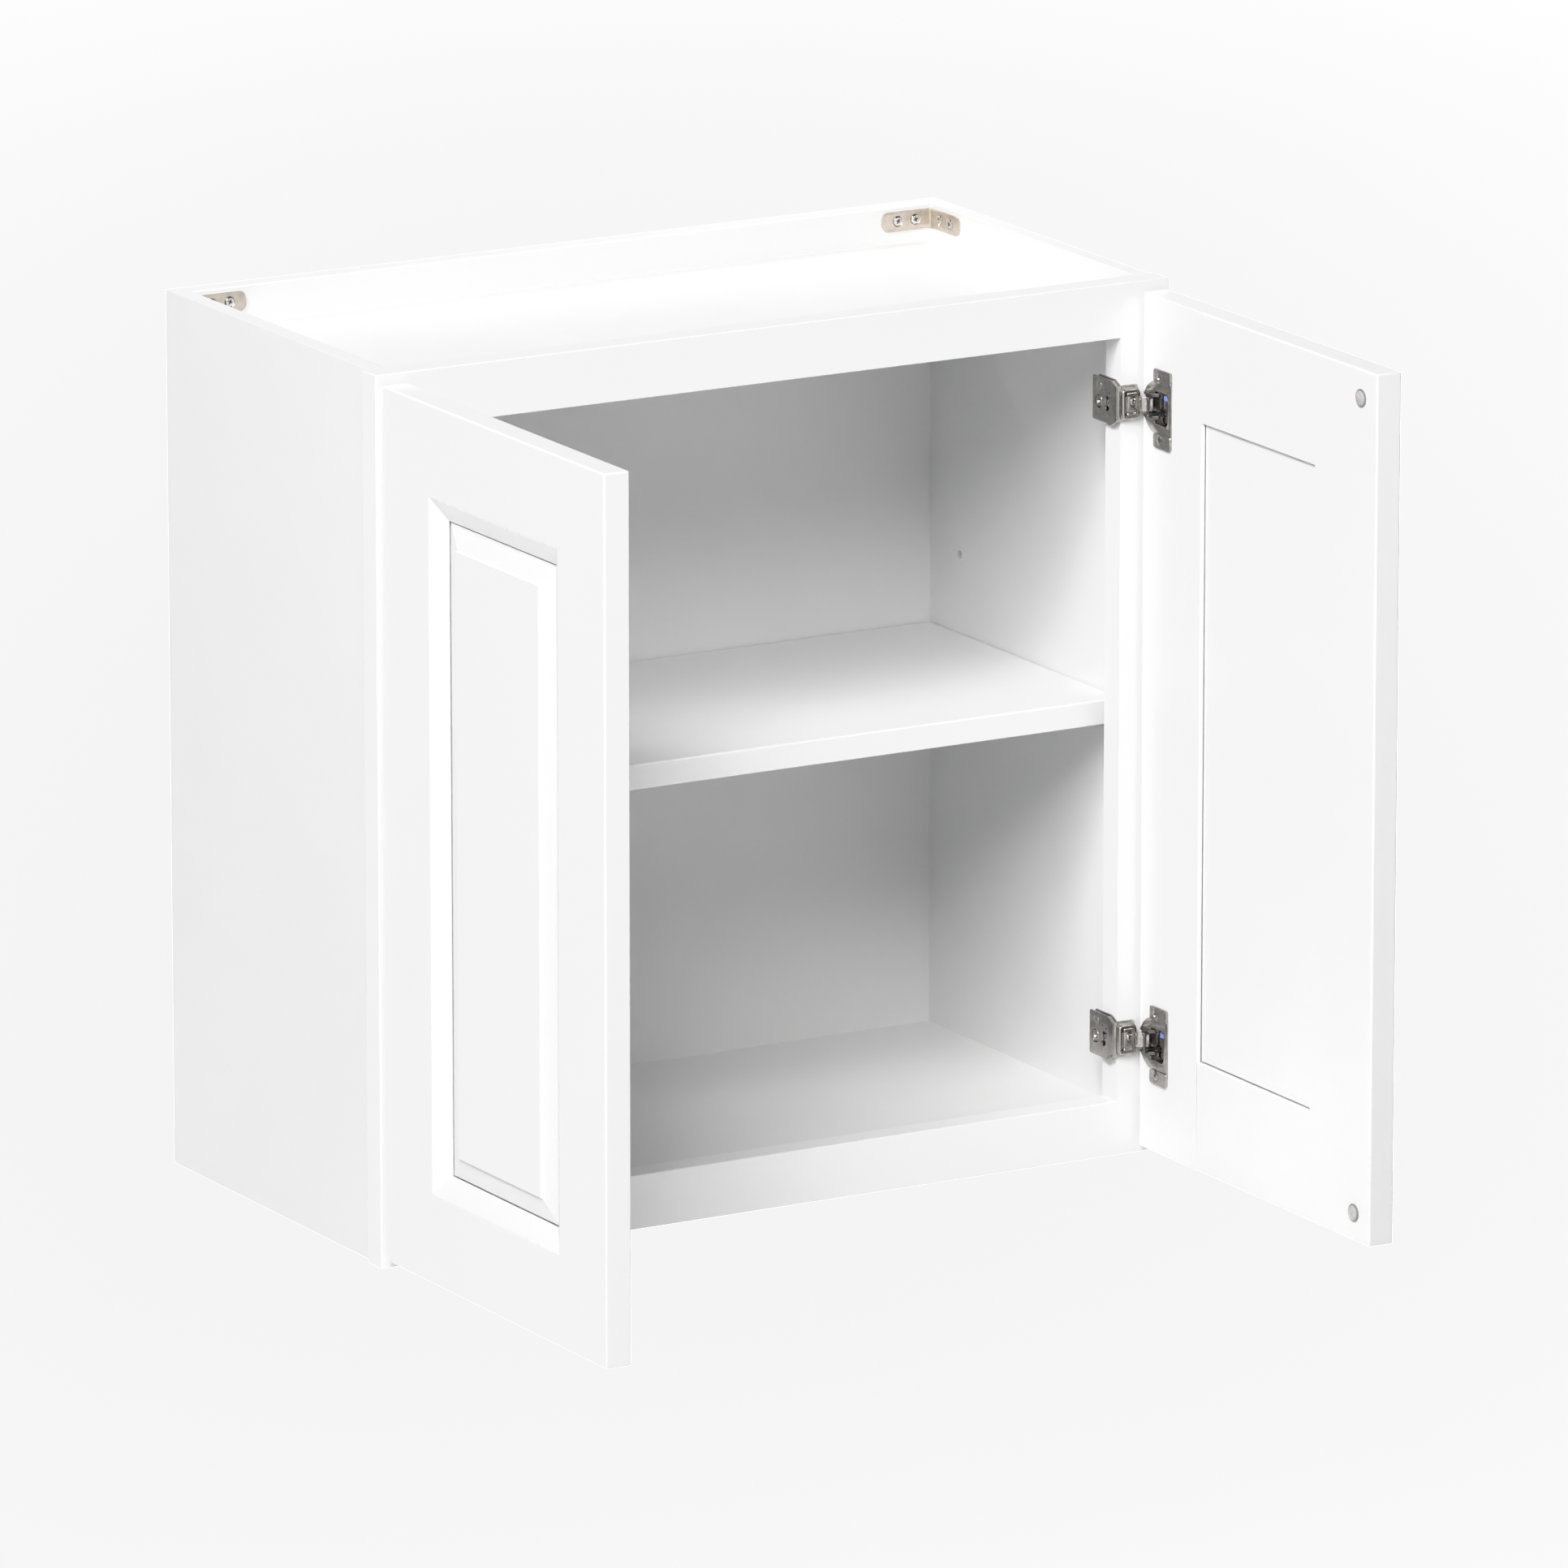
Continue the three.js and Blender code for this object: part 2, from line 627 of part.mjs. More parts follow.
const FACE_Y = PIVOT_FORWARD; // frame's front face
const REVEAL_X = FRAME_INNER - PIVOT_X; // frame's inner edge
const CUP_Y = DOOR_EDGE - CUP_CENTRE;

// The bracket: a plate on the frame's inner edge, a base with a raised box on its front,
// and a neck that bends into the cup and carries the pin.
function hingeBracket() {
  const wrapX = REVEAL_X - WRAP_T;
  const baseY = FACE_Y - BASE_T;
  const base = plateY(
    roundedRectangle(-BASE_HALF_H, BASE_HALF_H, wrapX, BASE_TO, BASE_CORNER_R), baseY, FACE_Y,
  );
  const box = plateY(
    roundedRectangle(-BOX_HALF_H, BOX_HALF_H, BOX_FROM, BASE_TO, BOX_CORNER_R), BOX_FRONT, FACE_Y,
  );
  const wrap = plateX(polygon([
    [baseY, -BASE_HALF_H], [FACE_Y + WRAP_TAPER_FROM, -BASE_HALF_H],
    [FACE_Y + WRAP_TAPER_TO, -WRAP_HALF_H], [FACE_Y + WRAP_DEPTH, -WRAP_HALF_H],
    [FACE_Y + WRAP_DEPTH, WRAP_HALF_H], [FACE_Y + WRAP_TAPER_TO, WRAP_HALF_H],
    [FACE_Y + WRAP_TAPER_FROM, BASE_HALF_H], [baseY, BASE_HALF_H],
  ]), wrapX, REVEAL_X);
  const neck = block([NECK_FROM, -NECK_HALF_T, -NECK_HALF_H], [NECK_TO, FACE_Y, NECK_HALF_H])
    .add(block([NECK_FROM, -NECK_HALF_T, -NECK_HALF_H], [0, NECK_HALF_T, NECK_HALF_H]))
    .add(barZ(HUB_R, 0, 0, -NECK_HALF_H, NECK_HALF_H));
  const frameHole = barX(WRAP_HOLE_R, wrapX - CLEAR, REVEAL_X + CLEAR, FACE_Y + FRAME_T / 2, 0);
  return base.add(box).add(wrap).add(neck)
    .subtract(barZ(PIVOT_HOLE_R, 0, 0, -NECK_HALF_H - CLEAR, NECK_HALF_H + CLEAR))
    .subtract(frameHole);
}

// The cup: a drum let into the door, its flange with two screw wings, and the ears of the pin.
function hingeCup() {
  const floor = DOOR_INNER + CUP_CAVITY_DEPTH;
  const flangeFront = DOOR_INNER - FLANGE_T;
  const drum = barX(CUP_R, DOOR_INNER, DOOR_INNER + CUP_DEPTH, CUP_Y, 0, ROUND);
  const disc = barX(FLANGE_R, flangeFront, DOOR_INNER, CUP_Y, 0, ROUND).subtract(block(
    [flangeFront - CLEAR, CUP_Y - 2 * FLANGE_R, -FLANGE_R - CLEAR],
    [DOOR_INNER + CLEAR, DOOR_EDGE - FLANGE_END, FLANGE_R + CLEAR],
  ));
  const wings = plateX(roundedRectangle(
    DOOR_EDGE - WING_TO, DOOR_EDGE - WING_FROM, -WING_HALF_H, WING_HALF_H, WING_CORNER_R,
  ), flangeFront, DOOR_INNER);
  const cavity = barX(CUP_CAVITY_R, DOOR_INNER, floor, CUP_Y, 0, ROUND);
  const opening = plateX(roundedRectangle(
    DOOR_EDGE - OPENING_TO, DOOR_EDGE, -OPENING_HALF_H, OPENING_HALF_H, OPENING_CORNER_R,
  ), flangeFront - CLEAR, DOOR_INNER + CLEAR).intersect(
    barX(CUP_CAVITY_R, flangeFront - CLEAR, DOOR_INNER + CLEAR, CUP_Y, 0, ROUND),
  );
  const mouth = block(
    [flangeFront - CLEAR, DOOR_EDGE - MOUTH_TO, -MOUTH_HALF_H],
    [DOOR_INNER + MOUTH_DEPTH, DOOR_EDGE, MOUTH_HALF_H],
  );
  let cup = drum.add(disc).add(wings).subtract(cavity).subtract(opening).subtract(mouth);
  const wallMiddle = (CUP_R + CUP_CAVITY_R) / 2;
  const within = barX(wallMiddle, -EAR_HALF_W, floor + CLEAR / 2, CUP_Y, 0, ROUND);
  for (const end of Object.values(ENDS)) {
    const ear = block(
      [-EAR_HALF_W, -EAR_HALF_W, Math.min(end * EAR_FROM, end * CUP_R)],
      [floor + CLEAR / 2, EAR_HALF_W, Math.max(end * EAR_FROM, end * CUP_R)],
    );
    cup = cup.add(ear.intersect(within)).subtract(barX(
      WING_HOLE_R, flangeFront - CLEAR, DOOR_INNER + CLEAR,
      DOOR_EDGE - WING_SCREW, end * WING_SCREW_Z,
    ));
  }
  const reach = PIVOT_PIN_HALF_L + TONGUE_FIT;
  return cup.subtract(barZ(PIVOT_HOLE_R, 0, 0, -reach, reach));
}

// The link: two cheeks on the pin, joined by a rod at their far end, drawn along -X.
function hingeLink() {
  const cheek = new THREE.Shape();
  cheek.moveTo(0, -LINK_HALF_W);
  cheek.absarc(0, 0, LINK_HALF_W, -Math.PI / 2, Math.PI / 2, false);
  cheek.absarc(-LINK_LENGTH, 0, LINK_HALF_W, Math.PI / 2, 1.5 * Math.PI, false);
  const rod = barZ(LINK_ROD_R, -LINK_LENGTH, 0, -LINK_FROM - 0.5, LINK_FROM + 0.5);
  return plateZ(cheek, LINK_FROM, LINK_TO)
    .add(plateZ(cheek, -LINK_TO, -LINK_FROM))
    .add(rod)
    .subtract(barZ(PIVOT_HOLE_R, 0, 0, -LINK_TO - CLEAR, LINK_TO + CLEAR));
}

function makeHinge(side, sign, end, up) {
  const group = new THREE.Group();
  group.position.set(sign * PIVOT_X, PIVOT_Y, DOOR_Z + up * HINGE_SPREAD);
  const name = `${side}_${end}_hinge`;
  const damper = barZ(
    DAMPER_R, DOOR_INNER + DAMPER_DEPTH, DOOR_EDGE - DAMPER_FROM_EDGE,
    -DAMPER_HALF_L, DAMPER_HALF_L,
  );
  const link = piece(`${name}_link`, hingeLink(), NICKEL, sign);
  link.rotation.z = sign * LINK_ANGLE;
  group.add(
    piece(`${name}_bracket`, hingeBracket(), NICKEL, sign),
    piece(`${name}_cup`, hingeCup(), NICKEL, sign),
    piece(`${name}_pin`, barZ(PIVOT_PIN_R, 0, 0, -PIVOT_PIN_HALF_L, PIVOT_PIN_HALF_L), ZINC),
    piece(`${name}_damper`, damper, DARK_PLASTIC, sign),
    link,
  );
  return group;
}

// ---------------------------------------------------------------- cabinet

const cabinet = new THREE.Group();
cabinet.add(makeCarcass(), makeFaceFrame(), makeShelf(), makeCornerBrackets());
for (const [side, sign] of Object.entries(SIDES)) {
  cabinet.add(makeDoor(side, sign));
  for (const [end, up] of Object.entries(ENDS)) {
    cabinet.add(makeHinge(side, sign, end, up));
  }
}

export default cabinet;
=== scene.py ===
"""Looks of a hanging wall cabinet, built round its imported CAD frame.

Metres, +X to the right as seen from the front, +Y towards the wall, +Z up.
Woodwork follows the CAD nodes. Hardware is drawn in millimetres in its own place for the
right-hand side, then scaled, mirrored for the left, and set where the CAD has it.
"""

import json
import math

import bmesh
import bpy
from mathutils import Euler, Matrix, Vector


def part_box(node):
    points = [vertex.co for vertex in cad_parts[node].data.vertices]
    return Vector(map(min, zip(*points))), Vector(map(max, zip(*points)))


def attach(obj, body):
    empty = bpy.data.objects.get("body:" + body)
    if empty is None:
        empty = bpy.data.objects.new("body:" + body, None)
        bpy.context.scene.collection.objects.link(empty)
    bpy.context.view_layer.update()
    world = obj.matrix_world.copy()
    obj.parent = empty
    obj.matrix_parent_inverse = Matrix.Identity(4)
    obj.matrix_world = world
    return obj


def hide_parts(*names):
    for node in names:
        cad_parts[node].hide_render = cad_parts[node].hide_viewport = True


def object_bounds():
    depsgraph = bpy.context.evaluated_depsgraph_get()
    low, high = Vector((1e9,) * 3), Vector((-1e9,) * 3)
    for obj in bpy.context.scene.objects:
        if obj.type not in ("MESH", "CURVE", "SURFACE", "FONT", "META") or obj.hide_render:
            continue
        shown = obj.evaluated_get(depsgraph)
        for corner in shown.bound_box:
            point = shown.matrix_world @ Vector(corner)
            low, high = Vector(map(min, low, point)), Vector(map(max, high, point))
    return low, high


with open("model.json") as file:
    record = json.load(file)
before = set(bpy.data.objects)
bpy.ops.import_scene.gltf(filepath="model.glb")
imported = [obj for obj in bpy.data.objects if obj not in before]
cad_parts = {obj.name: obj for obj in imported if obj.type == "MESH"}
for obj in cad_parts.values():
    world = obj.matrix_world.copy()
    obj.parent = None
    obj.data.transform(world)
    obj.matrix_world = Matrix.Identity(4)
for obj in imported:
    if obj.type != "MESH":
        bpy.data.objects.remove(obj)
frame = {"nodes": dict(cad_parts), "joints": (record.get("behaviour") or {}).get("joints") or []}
cad_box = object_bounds()

MM = 0.001
SIDES = {"left": -1, "right": 1}
ENDS = {"top": 1, "bottom": -1}


# ---------------------------------------------------------------- finishes

class Finish:
    """Builds one material. Its patterns follow the object's own coordinates, in metres."""

    def __init__(self, name, **sockets):
        self.material = bpy.data.materials.new(name)
        self.material.use_nodes = True
        self.tree = self.material.node_tree
        self.shader = self.tree.nodes["Principled BSDF"]
        for socket, value in sockets.items():
            self.shader.inputs[socket.replace("_", " ")].default_value = value
        self.place = self.add("ShaderNodeTexCoord").outputs["Object"]

    def add(self, kind, inputs=None, **settings):
        node = self.tree.nodes.new(kind)
        for key, value in settings.items():
            setattr(node, key, value)
        for key, value in (inputs or {}).items():
            if isinstance(value, bpy.types.NodeSocket):
                self.tree.links.new(value, node.inputs[key])
            else:
                node.inputs[key].default_value = value
        return node

    def noise(self, size, stretch=(1, 1, 1), detail=3, roughness=0.5):
        """Noise from 0 to 1 with features about size metres wide, drawn out along an axis by stretch."""
        scale = [1 / (size * s) for s in stretch]
        mapping = self.add("ShaderNodeMapping", {"Vector": self.place, "Scale": scale})
        noise = self.add("ShaderNodeTexNoise", {
            "Vector": mapping.outputs[0], "Scale": 1, "Detail": detail, "Roughness": roughness,
        })
        return noise.outputs["Fac"]

    def ramp(self, value, low, high, to_low=0.0, to_high=1.0):
        return self.add("ShaderNodeMapRange", {
            "Value": value, "From Min": low, "From Max": high, "To Min": to_low, "To Max": to_high,
        }).outputs[0]

    def times(self, a, b):
        return self.add("ShaderNodeMath", {0: a, 1: b}, operation="MULTIPLY").outputs[0]

    def blend(self, factor, first, second):
        """first where factor is 0 and second where it is 1; both are colours."""
        inputs = {0: factor, 6: first, 7: second}
        return self.add("ShaderNodeMix", inputs, data_type="RGBA").outputs[2]

    def edges(self, radius):
        """1 on edges sharper than radius, fading to 0 on the flats."""
        soft = self.add("ShaderNodeBevel", {"Radius": radius}, samples=4).outputs[0]
        true = self.add("ShaderNodeNewGeometry").outputs["True Normal"]
        match = self.add("ShaderNodeVectorMath", {0: soft, 1: true}, operation="DOT_PRODUCT")
        return self.ramp(match.outputs["Value"], 0.985, 0.8)

    def bump(self, height, depth, below=None):
        """Raises the surface by depth metres where height is 1, on top of an earlier bump."""
        inputs = {"Height": height, "Distance": depth, "Strength": 1}
        if below is not None:
            inputs["Normal"] = below
        return self.add("ShaderNodeBump", inputs).outputs[0]

    def connect(self, **sockets):
        for socket, value in sockets.items():
            self.tree.links.new(value, self.shader.inputs[socket.replace("_", " ")])
        return self.material


def grey(value, warmth=0.0):
    """A near-grey colour; warmth above 0 takes out blue."""
    return (value * (1 + warmth), value, value * (1 - warmth), 1)


GRAIN = {
    "x": (70, 1, 1), "y": (1, 70, 1), "z": (1, 1, 70),
}


def painted_wood(name, grain, shine=0.36, white=0.87):
    """Sprayed satin paint on wood: a little orange peel, faint grain and faint clouds in the white."""
    finish = Finish(name, IOR=1.46)
    clouds = finish.noise(0.16, detail=2)
    flecks = finish.noise(0.012, detail=4, roughness=0.6)
    peel = finish.noise(0.0016, detail=1)
    lines = finish.noise(0.0011, GRAIN[grain], detail=3, roughness=0.6)
    tone = finish.blend(finish.ramp(clouds, 0.35, 0.65), grey(white - 0.008), grey(white + 0.008))
    gloss = finish.ramp(flecks, 0.25, 0.75, shine - 0.04, shine + 0.07)
    surface = finish.bump(lines, 0.00001)
    surface = finish.bump(peel, 0.000012, surface)
    return finish.connect(Base_Color=tone, Roughness=gloss, Normal=surface)


def painted_highlight_edge_paint():
    """Paint on the eased edges: mostly a shade lighter than the flats as a painted highlight, glossier
    where hands polish it, and a little thinner and darker in small patches.
    """
    finish = Finish("edge_paint_painted_highlight_and_wear", IOR=1.5)
    flecks = finish.noise(0.012, detail=4, roughness=0.6)
    peel = finish.noise(0.0012, detail=2)
    # The lighter grey is a painted highlight along the edges; the darker patches are thinner paint.
    tone = finish.blend(finish.ramp(flecks, 0.58, 0.75), grey(0.9), grey(0.83, 0.01))
    gloss = finish.ramp(flecks, 0.3, 0.7, 0.24, 0.36)
    return finish.connect(Base_Color=tone, Roughness=gloss, Normal=finish.bump(peel, 0.000012))


def bare_wood():
    """Raw board inside the drilled holes."""
    finish = Finish("bare_wood", IOR=1.4)
    fibres = finish.noise(0.0006, detail=4, roughness=0.7)
    tone = finish.blend(fibres, (0.62, 0.56, 0.48, 1), (0.8, 0.75, 0.68, 1))
    rough = finish.ramp(fibres, 0.2, 0.8, 0.8, 0.95)
    return finish.connect(Base_Color=tone, Roughness=rough, Normal=finish.bump(fibres, 0.0001))


def plated_metal(name, light, dark, shine, grain="z"):
    """Plated steel with fine brush lines, cloudy patches, and edges lightened towards pale grey as a
    painted highlight.
    """
    finish = Finish(name, Metallic=1.0)
    lines = finish.noise(0.00022, GRAIN[grain], detail=3, roughness=0.65)
    patches = finish.noise(0.004, detail=3, roughness=0.6)
    # Edges lightened towards pale grey: a painted highlight.
    painted_edge_highlight = finish.edges(0.0004)
    tone = finish.blend(finish.ramp(patches, 0.3, 0.7), dark, light)
    tone = finish.blend(finish.times(painted_edge_highlight, 0.5), tone, grey(0.8, 0.03))
    rough = finish.ramp(patches, 0.3, 0.7, shine + 0.06, shine - 0.04)
    surface = finish.bump(lines, 0.0000035)
    surface = finish.bump(patches, 0.00003, surface)
    return finish.connect(Base_Color=tone, Roughness=rough, Normal=surface)


def moulded_plastic(name, base, tint, shine):
    """Injection-moulded plastic with a fine spark-eroded texture."""
    finish = Finish(name, IOR=1.47)
    texture = finish.noise(0.0003, detail=2)
    clouds = finish.noise(0.003, detail=3)
    tone = finish.blend(finish.ramp(clouds, 0.3, 0.7), base, tint)
    rough = finish.ramp(texture, 0.3, 0.7, shine - 0.05, shine + 0.08)
    return finish.connect(Base_Color=tone, Roughness=rough, Normal=finish.bump(texture, 0.00001))


def soft_rubber(name, base, tint):
    """Clear grey bumper rubber with a faint haze."""
    finish = Finish(name, IOR=1.44, Subsurface_Weight=0.35, Subsurface_Scale=0.002, Coat_Weight=0.3)
    haze = finish.noise(0.0012, detail=3)
    tone = finish.blend(haze, base, tint)
    rough = finish.ramp(haze, 0.3, 0.7, 0.22, 0.4)
    return finish.connect(Base_Color=tone, Roughness=rough, Normal=finish.bump(haze, 0.00002))


PAINT = {axis: painted_wood(f"satin_paint_grain_{axis}", axis) for axis in GRAIN}
INTERIOR = {axis: painted_wood(f"interior_paint_grain_{axis}", axis, 0.46, 0.81) for axis in GRAIN}
EDGE_PAINT_WITH_HIGHLIGHT = painted_highlight_edge_paint()
BARE_WOOD = bare_wood()
NICKEL = plated_metal("satin_nickel", (0.51, 0.487, 0.465, 1), (0.35, 0.335, 0.32, 1), 0.2)
NICKEL_X = plated_metal("satin_nickel_arm", (0.54, 0.517, 0.495, 1), (0.40, 0.38, 0.365, 1), 0.26, "x")
WARM_NICKEL = plated_metal("champagne_nickel", (0.68, 0.615, 0.535, 1), (0.56, 0.50, 0.43, 1), 0.32, "x")
# Grey steel for the rail rivets; on the walls of cross recesses its darker grey is painted shade.
GREY_STEEL_AND_RECESS_SHADE = plated_metal("grey_steel_and_recess_shade", (0.34, 0.335, 0.33, 1), (0.22, 0.215, 0.21, 1), 0.34)
# Dark steel for the rails and link; on the walls of small wells and holes its dark tone is painted shade.
DARK_STEEL_AND_HOLE_SHADE = plated_metal("oiled_steel_and_hole_shade", (0.2, 0.195, 0.19, 1), (0.11, 0.105, 0.1, 1), 0.3)
ZINC = plated_metal("bright_zinc", (0.74, 0.74, 0.73, 1), (0.62, 0.62, 0.61, 1), 0.2, "x")
DARK_PLASTIC = moulded_plastic("dark_plastic", grey(0.045), grey(0.06), 0.38)
BLUE_PLASTIC = moulded_plastic("blue_plastic", (0.2, 0.29, 0.78, 1), (0.26, 0.36, 0.84, 1), 0.3)
BUMPER = soft_rubber("bumper_rubber", grey(0.42, 0.02), grey(0.5, 0.02))
# A darker copy of the bumper rubber: painted shade round the bumper's edge.
BUMPER_RIM_SHADE = soft_rubber("bumper_rim_painted_shade", grey(0.2, 0.02), grey(0.26, 0.02))


# ---------------------------------------------------------------- mesh helpers

def rounded_shading(mesh, angle=32):
    mesh.shade_smooth()
    mesh.set_sharp_from_angle(angle=math.radians(angle))


def settle(piece):
    """Applies a piece's modifiers to its mesh for good."""
    bpy.context.view_layer.update()
    graph = bpy.context.evaluated_depsgraph_get()
    mesh = bpy.data.meshes.new_from_object(piece.evaluated_get(graph))
    piece.modifiers.clear()
    piece.data = mesh


def shown(name, mesh):
    piece = bpy.data.objects.new(name, mesh)
    bpy.context.scene.collection.objects.link(piece)
    return piece


def carved(mesh, cutters):
    """The mesh with every cutter's shape taken out of it; the cut faces keep the cutter's material."""
    piece = shown("carving", mesh)
    tools = [shown("cutter", cutter) for cutter in cutters]
    for tool in tools:
        boolean = piece.modifiers.new("cut", "BOOLEAN")
        boolean.operation = "DIFFERENCE"
        boolean.solver = "EXACT"
        boolean.material_mode = "TRANSFER"
        boolean.object = tool
    settle(piece)
    result = piece.data
    for leftover in [piece, *tools]:
        bpy.data.objects.remove(leftover)
    return result


def mesh_of(shape, material=None):
    mesh = bpy.data.meshes.new("mesh")
    bmesh.ops.recalc_face_normals(shape, faces=shape.faces)
    shape.to_mesh(mesh)
    shape.free()
    if material is not None:
        mesh.materials.append(material)
    return mesh


def prism(outline, low, high, edge=0.0, material=None, steps=2, under=True):
    """A flat outline in XY made thick from Z low to high, with its rims rounded by edge."""
    shape = bmesh.new()
    face = shape.faces.new([shape.verts.new((x, y, low)) for x, y in outline])
    side = bmesh.ops.extrude_face_region(shape, geom=[face])["geom"]
    bmesh.ops.translate(shape, verts=[v for v in side if isinstance(v, bmesh.types.BMVert)],
                        vec=(0, 0, high - low))
    if edge:
        def at(z):
            return [e for e in shape.edges if all(abs(v.co.z - z) < 1e-6 for v in e.verts)]
        rims = at(high) + (at(low) if under else [])
        bmesh.ops.bevel(shape, geom=rims, offset=edge, segments=steps, profile=0.5,
                        affect="EDGES", clamp_overlap=True)
    return mesh_of(shape, material)


def lathe(profile, sides=32, material=None):
    """A solid turned about Z from (radius, height) points; a radius of 0 closes it on the axis."""
    shape = bmesh.new()
    rings = []
    for radius, height in profile:
        if radius == 0:
            rings.append([shape.verts.new((0, 0, height))] * sides)
        else:
            angles = [2 * math.pi * i / sides for i in range(sides)]
            rings.append([
                shape.verts.new((radius * math.cos(a), radius * math.sin(a), height)) for a in angles
            ])
    for lower, upper in zip(rings, rings[1:]):
        for i in range(sides):
            j = (i + 1) % sides
            corners = [lower[i], lower[j], upper[j], upper[i]]
            shape.faces.new(list(dict.fromkeys(corners)))
    return mesh_of(shape, material)


def cylinder(radius, low, high, sides, material):
    return lathe([(0, low), (radius, low), (radius, high), (0, high)], sides, material)


def quarter_dome(radius, foot, rise, degrees_up):
    """Points of a dome's outline that starts at (radius, foot) and bulges to rise above it."""
    angles = [math.radians(angle) for angle in degrees_up]
    return [(radius * math.cos(a), foot + rise * math.sin(a)) for a in angles]


def moved(mesh, matrix):
    mesh.transform(matrix)
    if matrix.determinant() < 0:
        mesh.flip_normals()
    return mesh


def copied(mesh, matrix):
    return moved(mesh.copy(), matrix)


def joined(meshes):
    """One mesh of several shells, each with its own material."""
    materials = []
    shape = bmesh.new()
    for mesh in meshes:
        offset = []
        for material in mesh.materials:
            if material not in materials:
                materials.append(material)
            offset.append(materials.index(material))
        before = len(shape.faces)
        shape.from_mesh(mesh)
        shape.faces.ensure_lookup_table()
        for face in shape.faces[before:]:
            face.material_index = offset[face.material_index] if offset else 0
    result = bpy.data.meshes.new("joined")
    shape.to_mesh(result)
    shape.free()
    for material in materials:
        result.materials.append(material)
    return result


def shift(x, y, z):
    return Matrix.Translation((x, y, z))


# Turn a drawing's own XYZ so that its thickness runs along the named axis.
ALONG_X = Matrix(((0, 0, 1, 0), (1, 0, 0, 0), (0, 1, 0, 0), (0, 0, 0, 1)))
ALONG_Y = Matrix(((0, 1, 0, 0), (0, 0, 1, 0), (1, 0, 0, 0), (0, 0, 0, 1)))
FACING_LEFT = Euler((0, -math.pi / 2, 0)).to_matrix().to_4x4()
FACING_FRONT = Euler((math.pi / 2, 0, 0)).to_matrix().to_4x4()


def slab_x(outline, low, high, *details):
    """An outline in (Y, Z) made thick from X low to high; details are those of prism."""
    return moved(prism(outline, low, high, *details), ALONG_X)


def slab_y(outline, low, high, *details):
    """An outline in (Z, X) made thick from Y low to high; details are those of prism."""
    return moved(prism(outline, low, high, *details), ALONG_Y)


def arc(cx, cy, radius, start, end, steps=6):
    """Points along an arc, its angles in degrees."""
    angles = [math.radians(start + (end - start) * i / steps) for i in range(steps + 1)]
    return [(cx + radius * math.cos(a), cy + radius * math.sin(a)) for a in angles]


def rounded_box(x0, x1, y0, y1, r, steps=4):
    corners = [(x1 - r, y0 + r, -90), (x1 - r, y1 - r, 0), (x0 + r, y1 - r, 90), (x0 + r, y0 + r, 180)]
    return [p for cx, cy, a in corners for p in arc(cx, cy, r, a, a + 90, steps)]


def add_piece(name, mesh, body, replaces=None, angle=32):
    """Shows a mesh that is already in place as a piece of the object."""
    rounded_shading(mesh, angle)
    piece = shown(name, mesh)
    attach(piece, body)
    if replaces is not None:
        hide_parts(replaces)
    return piece


# ---------------------------------------------------------------- woodwork

def inside(point, box, slack=0.00005):
    low, high = box
    return all(low[i] - slack <= point[i] <= high[i] + slack for i in range(3))


EASING = 1  # the material index that the bevel gives to the rounded edges
WELD = 1e-6
SHORT_EDGE = 0.005
GENTLE_BEND = math.radians(12)  # a bend that needs no easing
SHADED_BEND = math.radians(33)  # the sharpest bend that shading runs across


def flatten_between_easings(mesh):
    """Shades flats as true flats, and easings so that they blend from flat to flat."""
    limit = math.cos(SHADED_BEND)
    meeting = [[] for vertex in mesh.vertices]
    for face in mesh.polygons:
        for vertex in face.vertices:
            meeting[vertex].append(face)
    normals = []
    for face in mesh.polygons:
        for vertex in face.vertices:
            near = [other for other in meeting[vertex] if other.normal.dot(face.normal) > limit]
            flats = [other for other in near if other.material_index != EASING]
            if face.material_index != EASING:
                normal = face.normal
            elif flats:
                normal = max(flats, key=lambda flat: flat.area).normal
            else:
                normal = sum((other.normal for other in near), Vector()).normalized()
            normals.append(normal.copy())
    mesh.shade_smooth()
    mesh.normals_split_custom_set(normals)


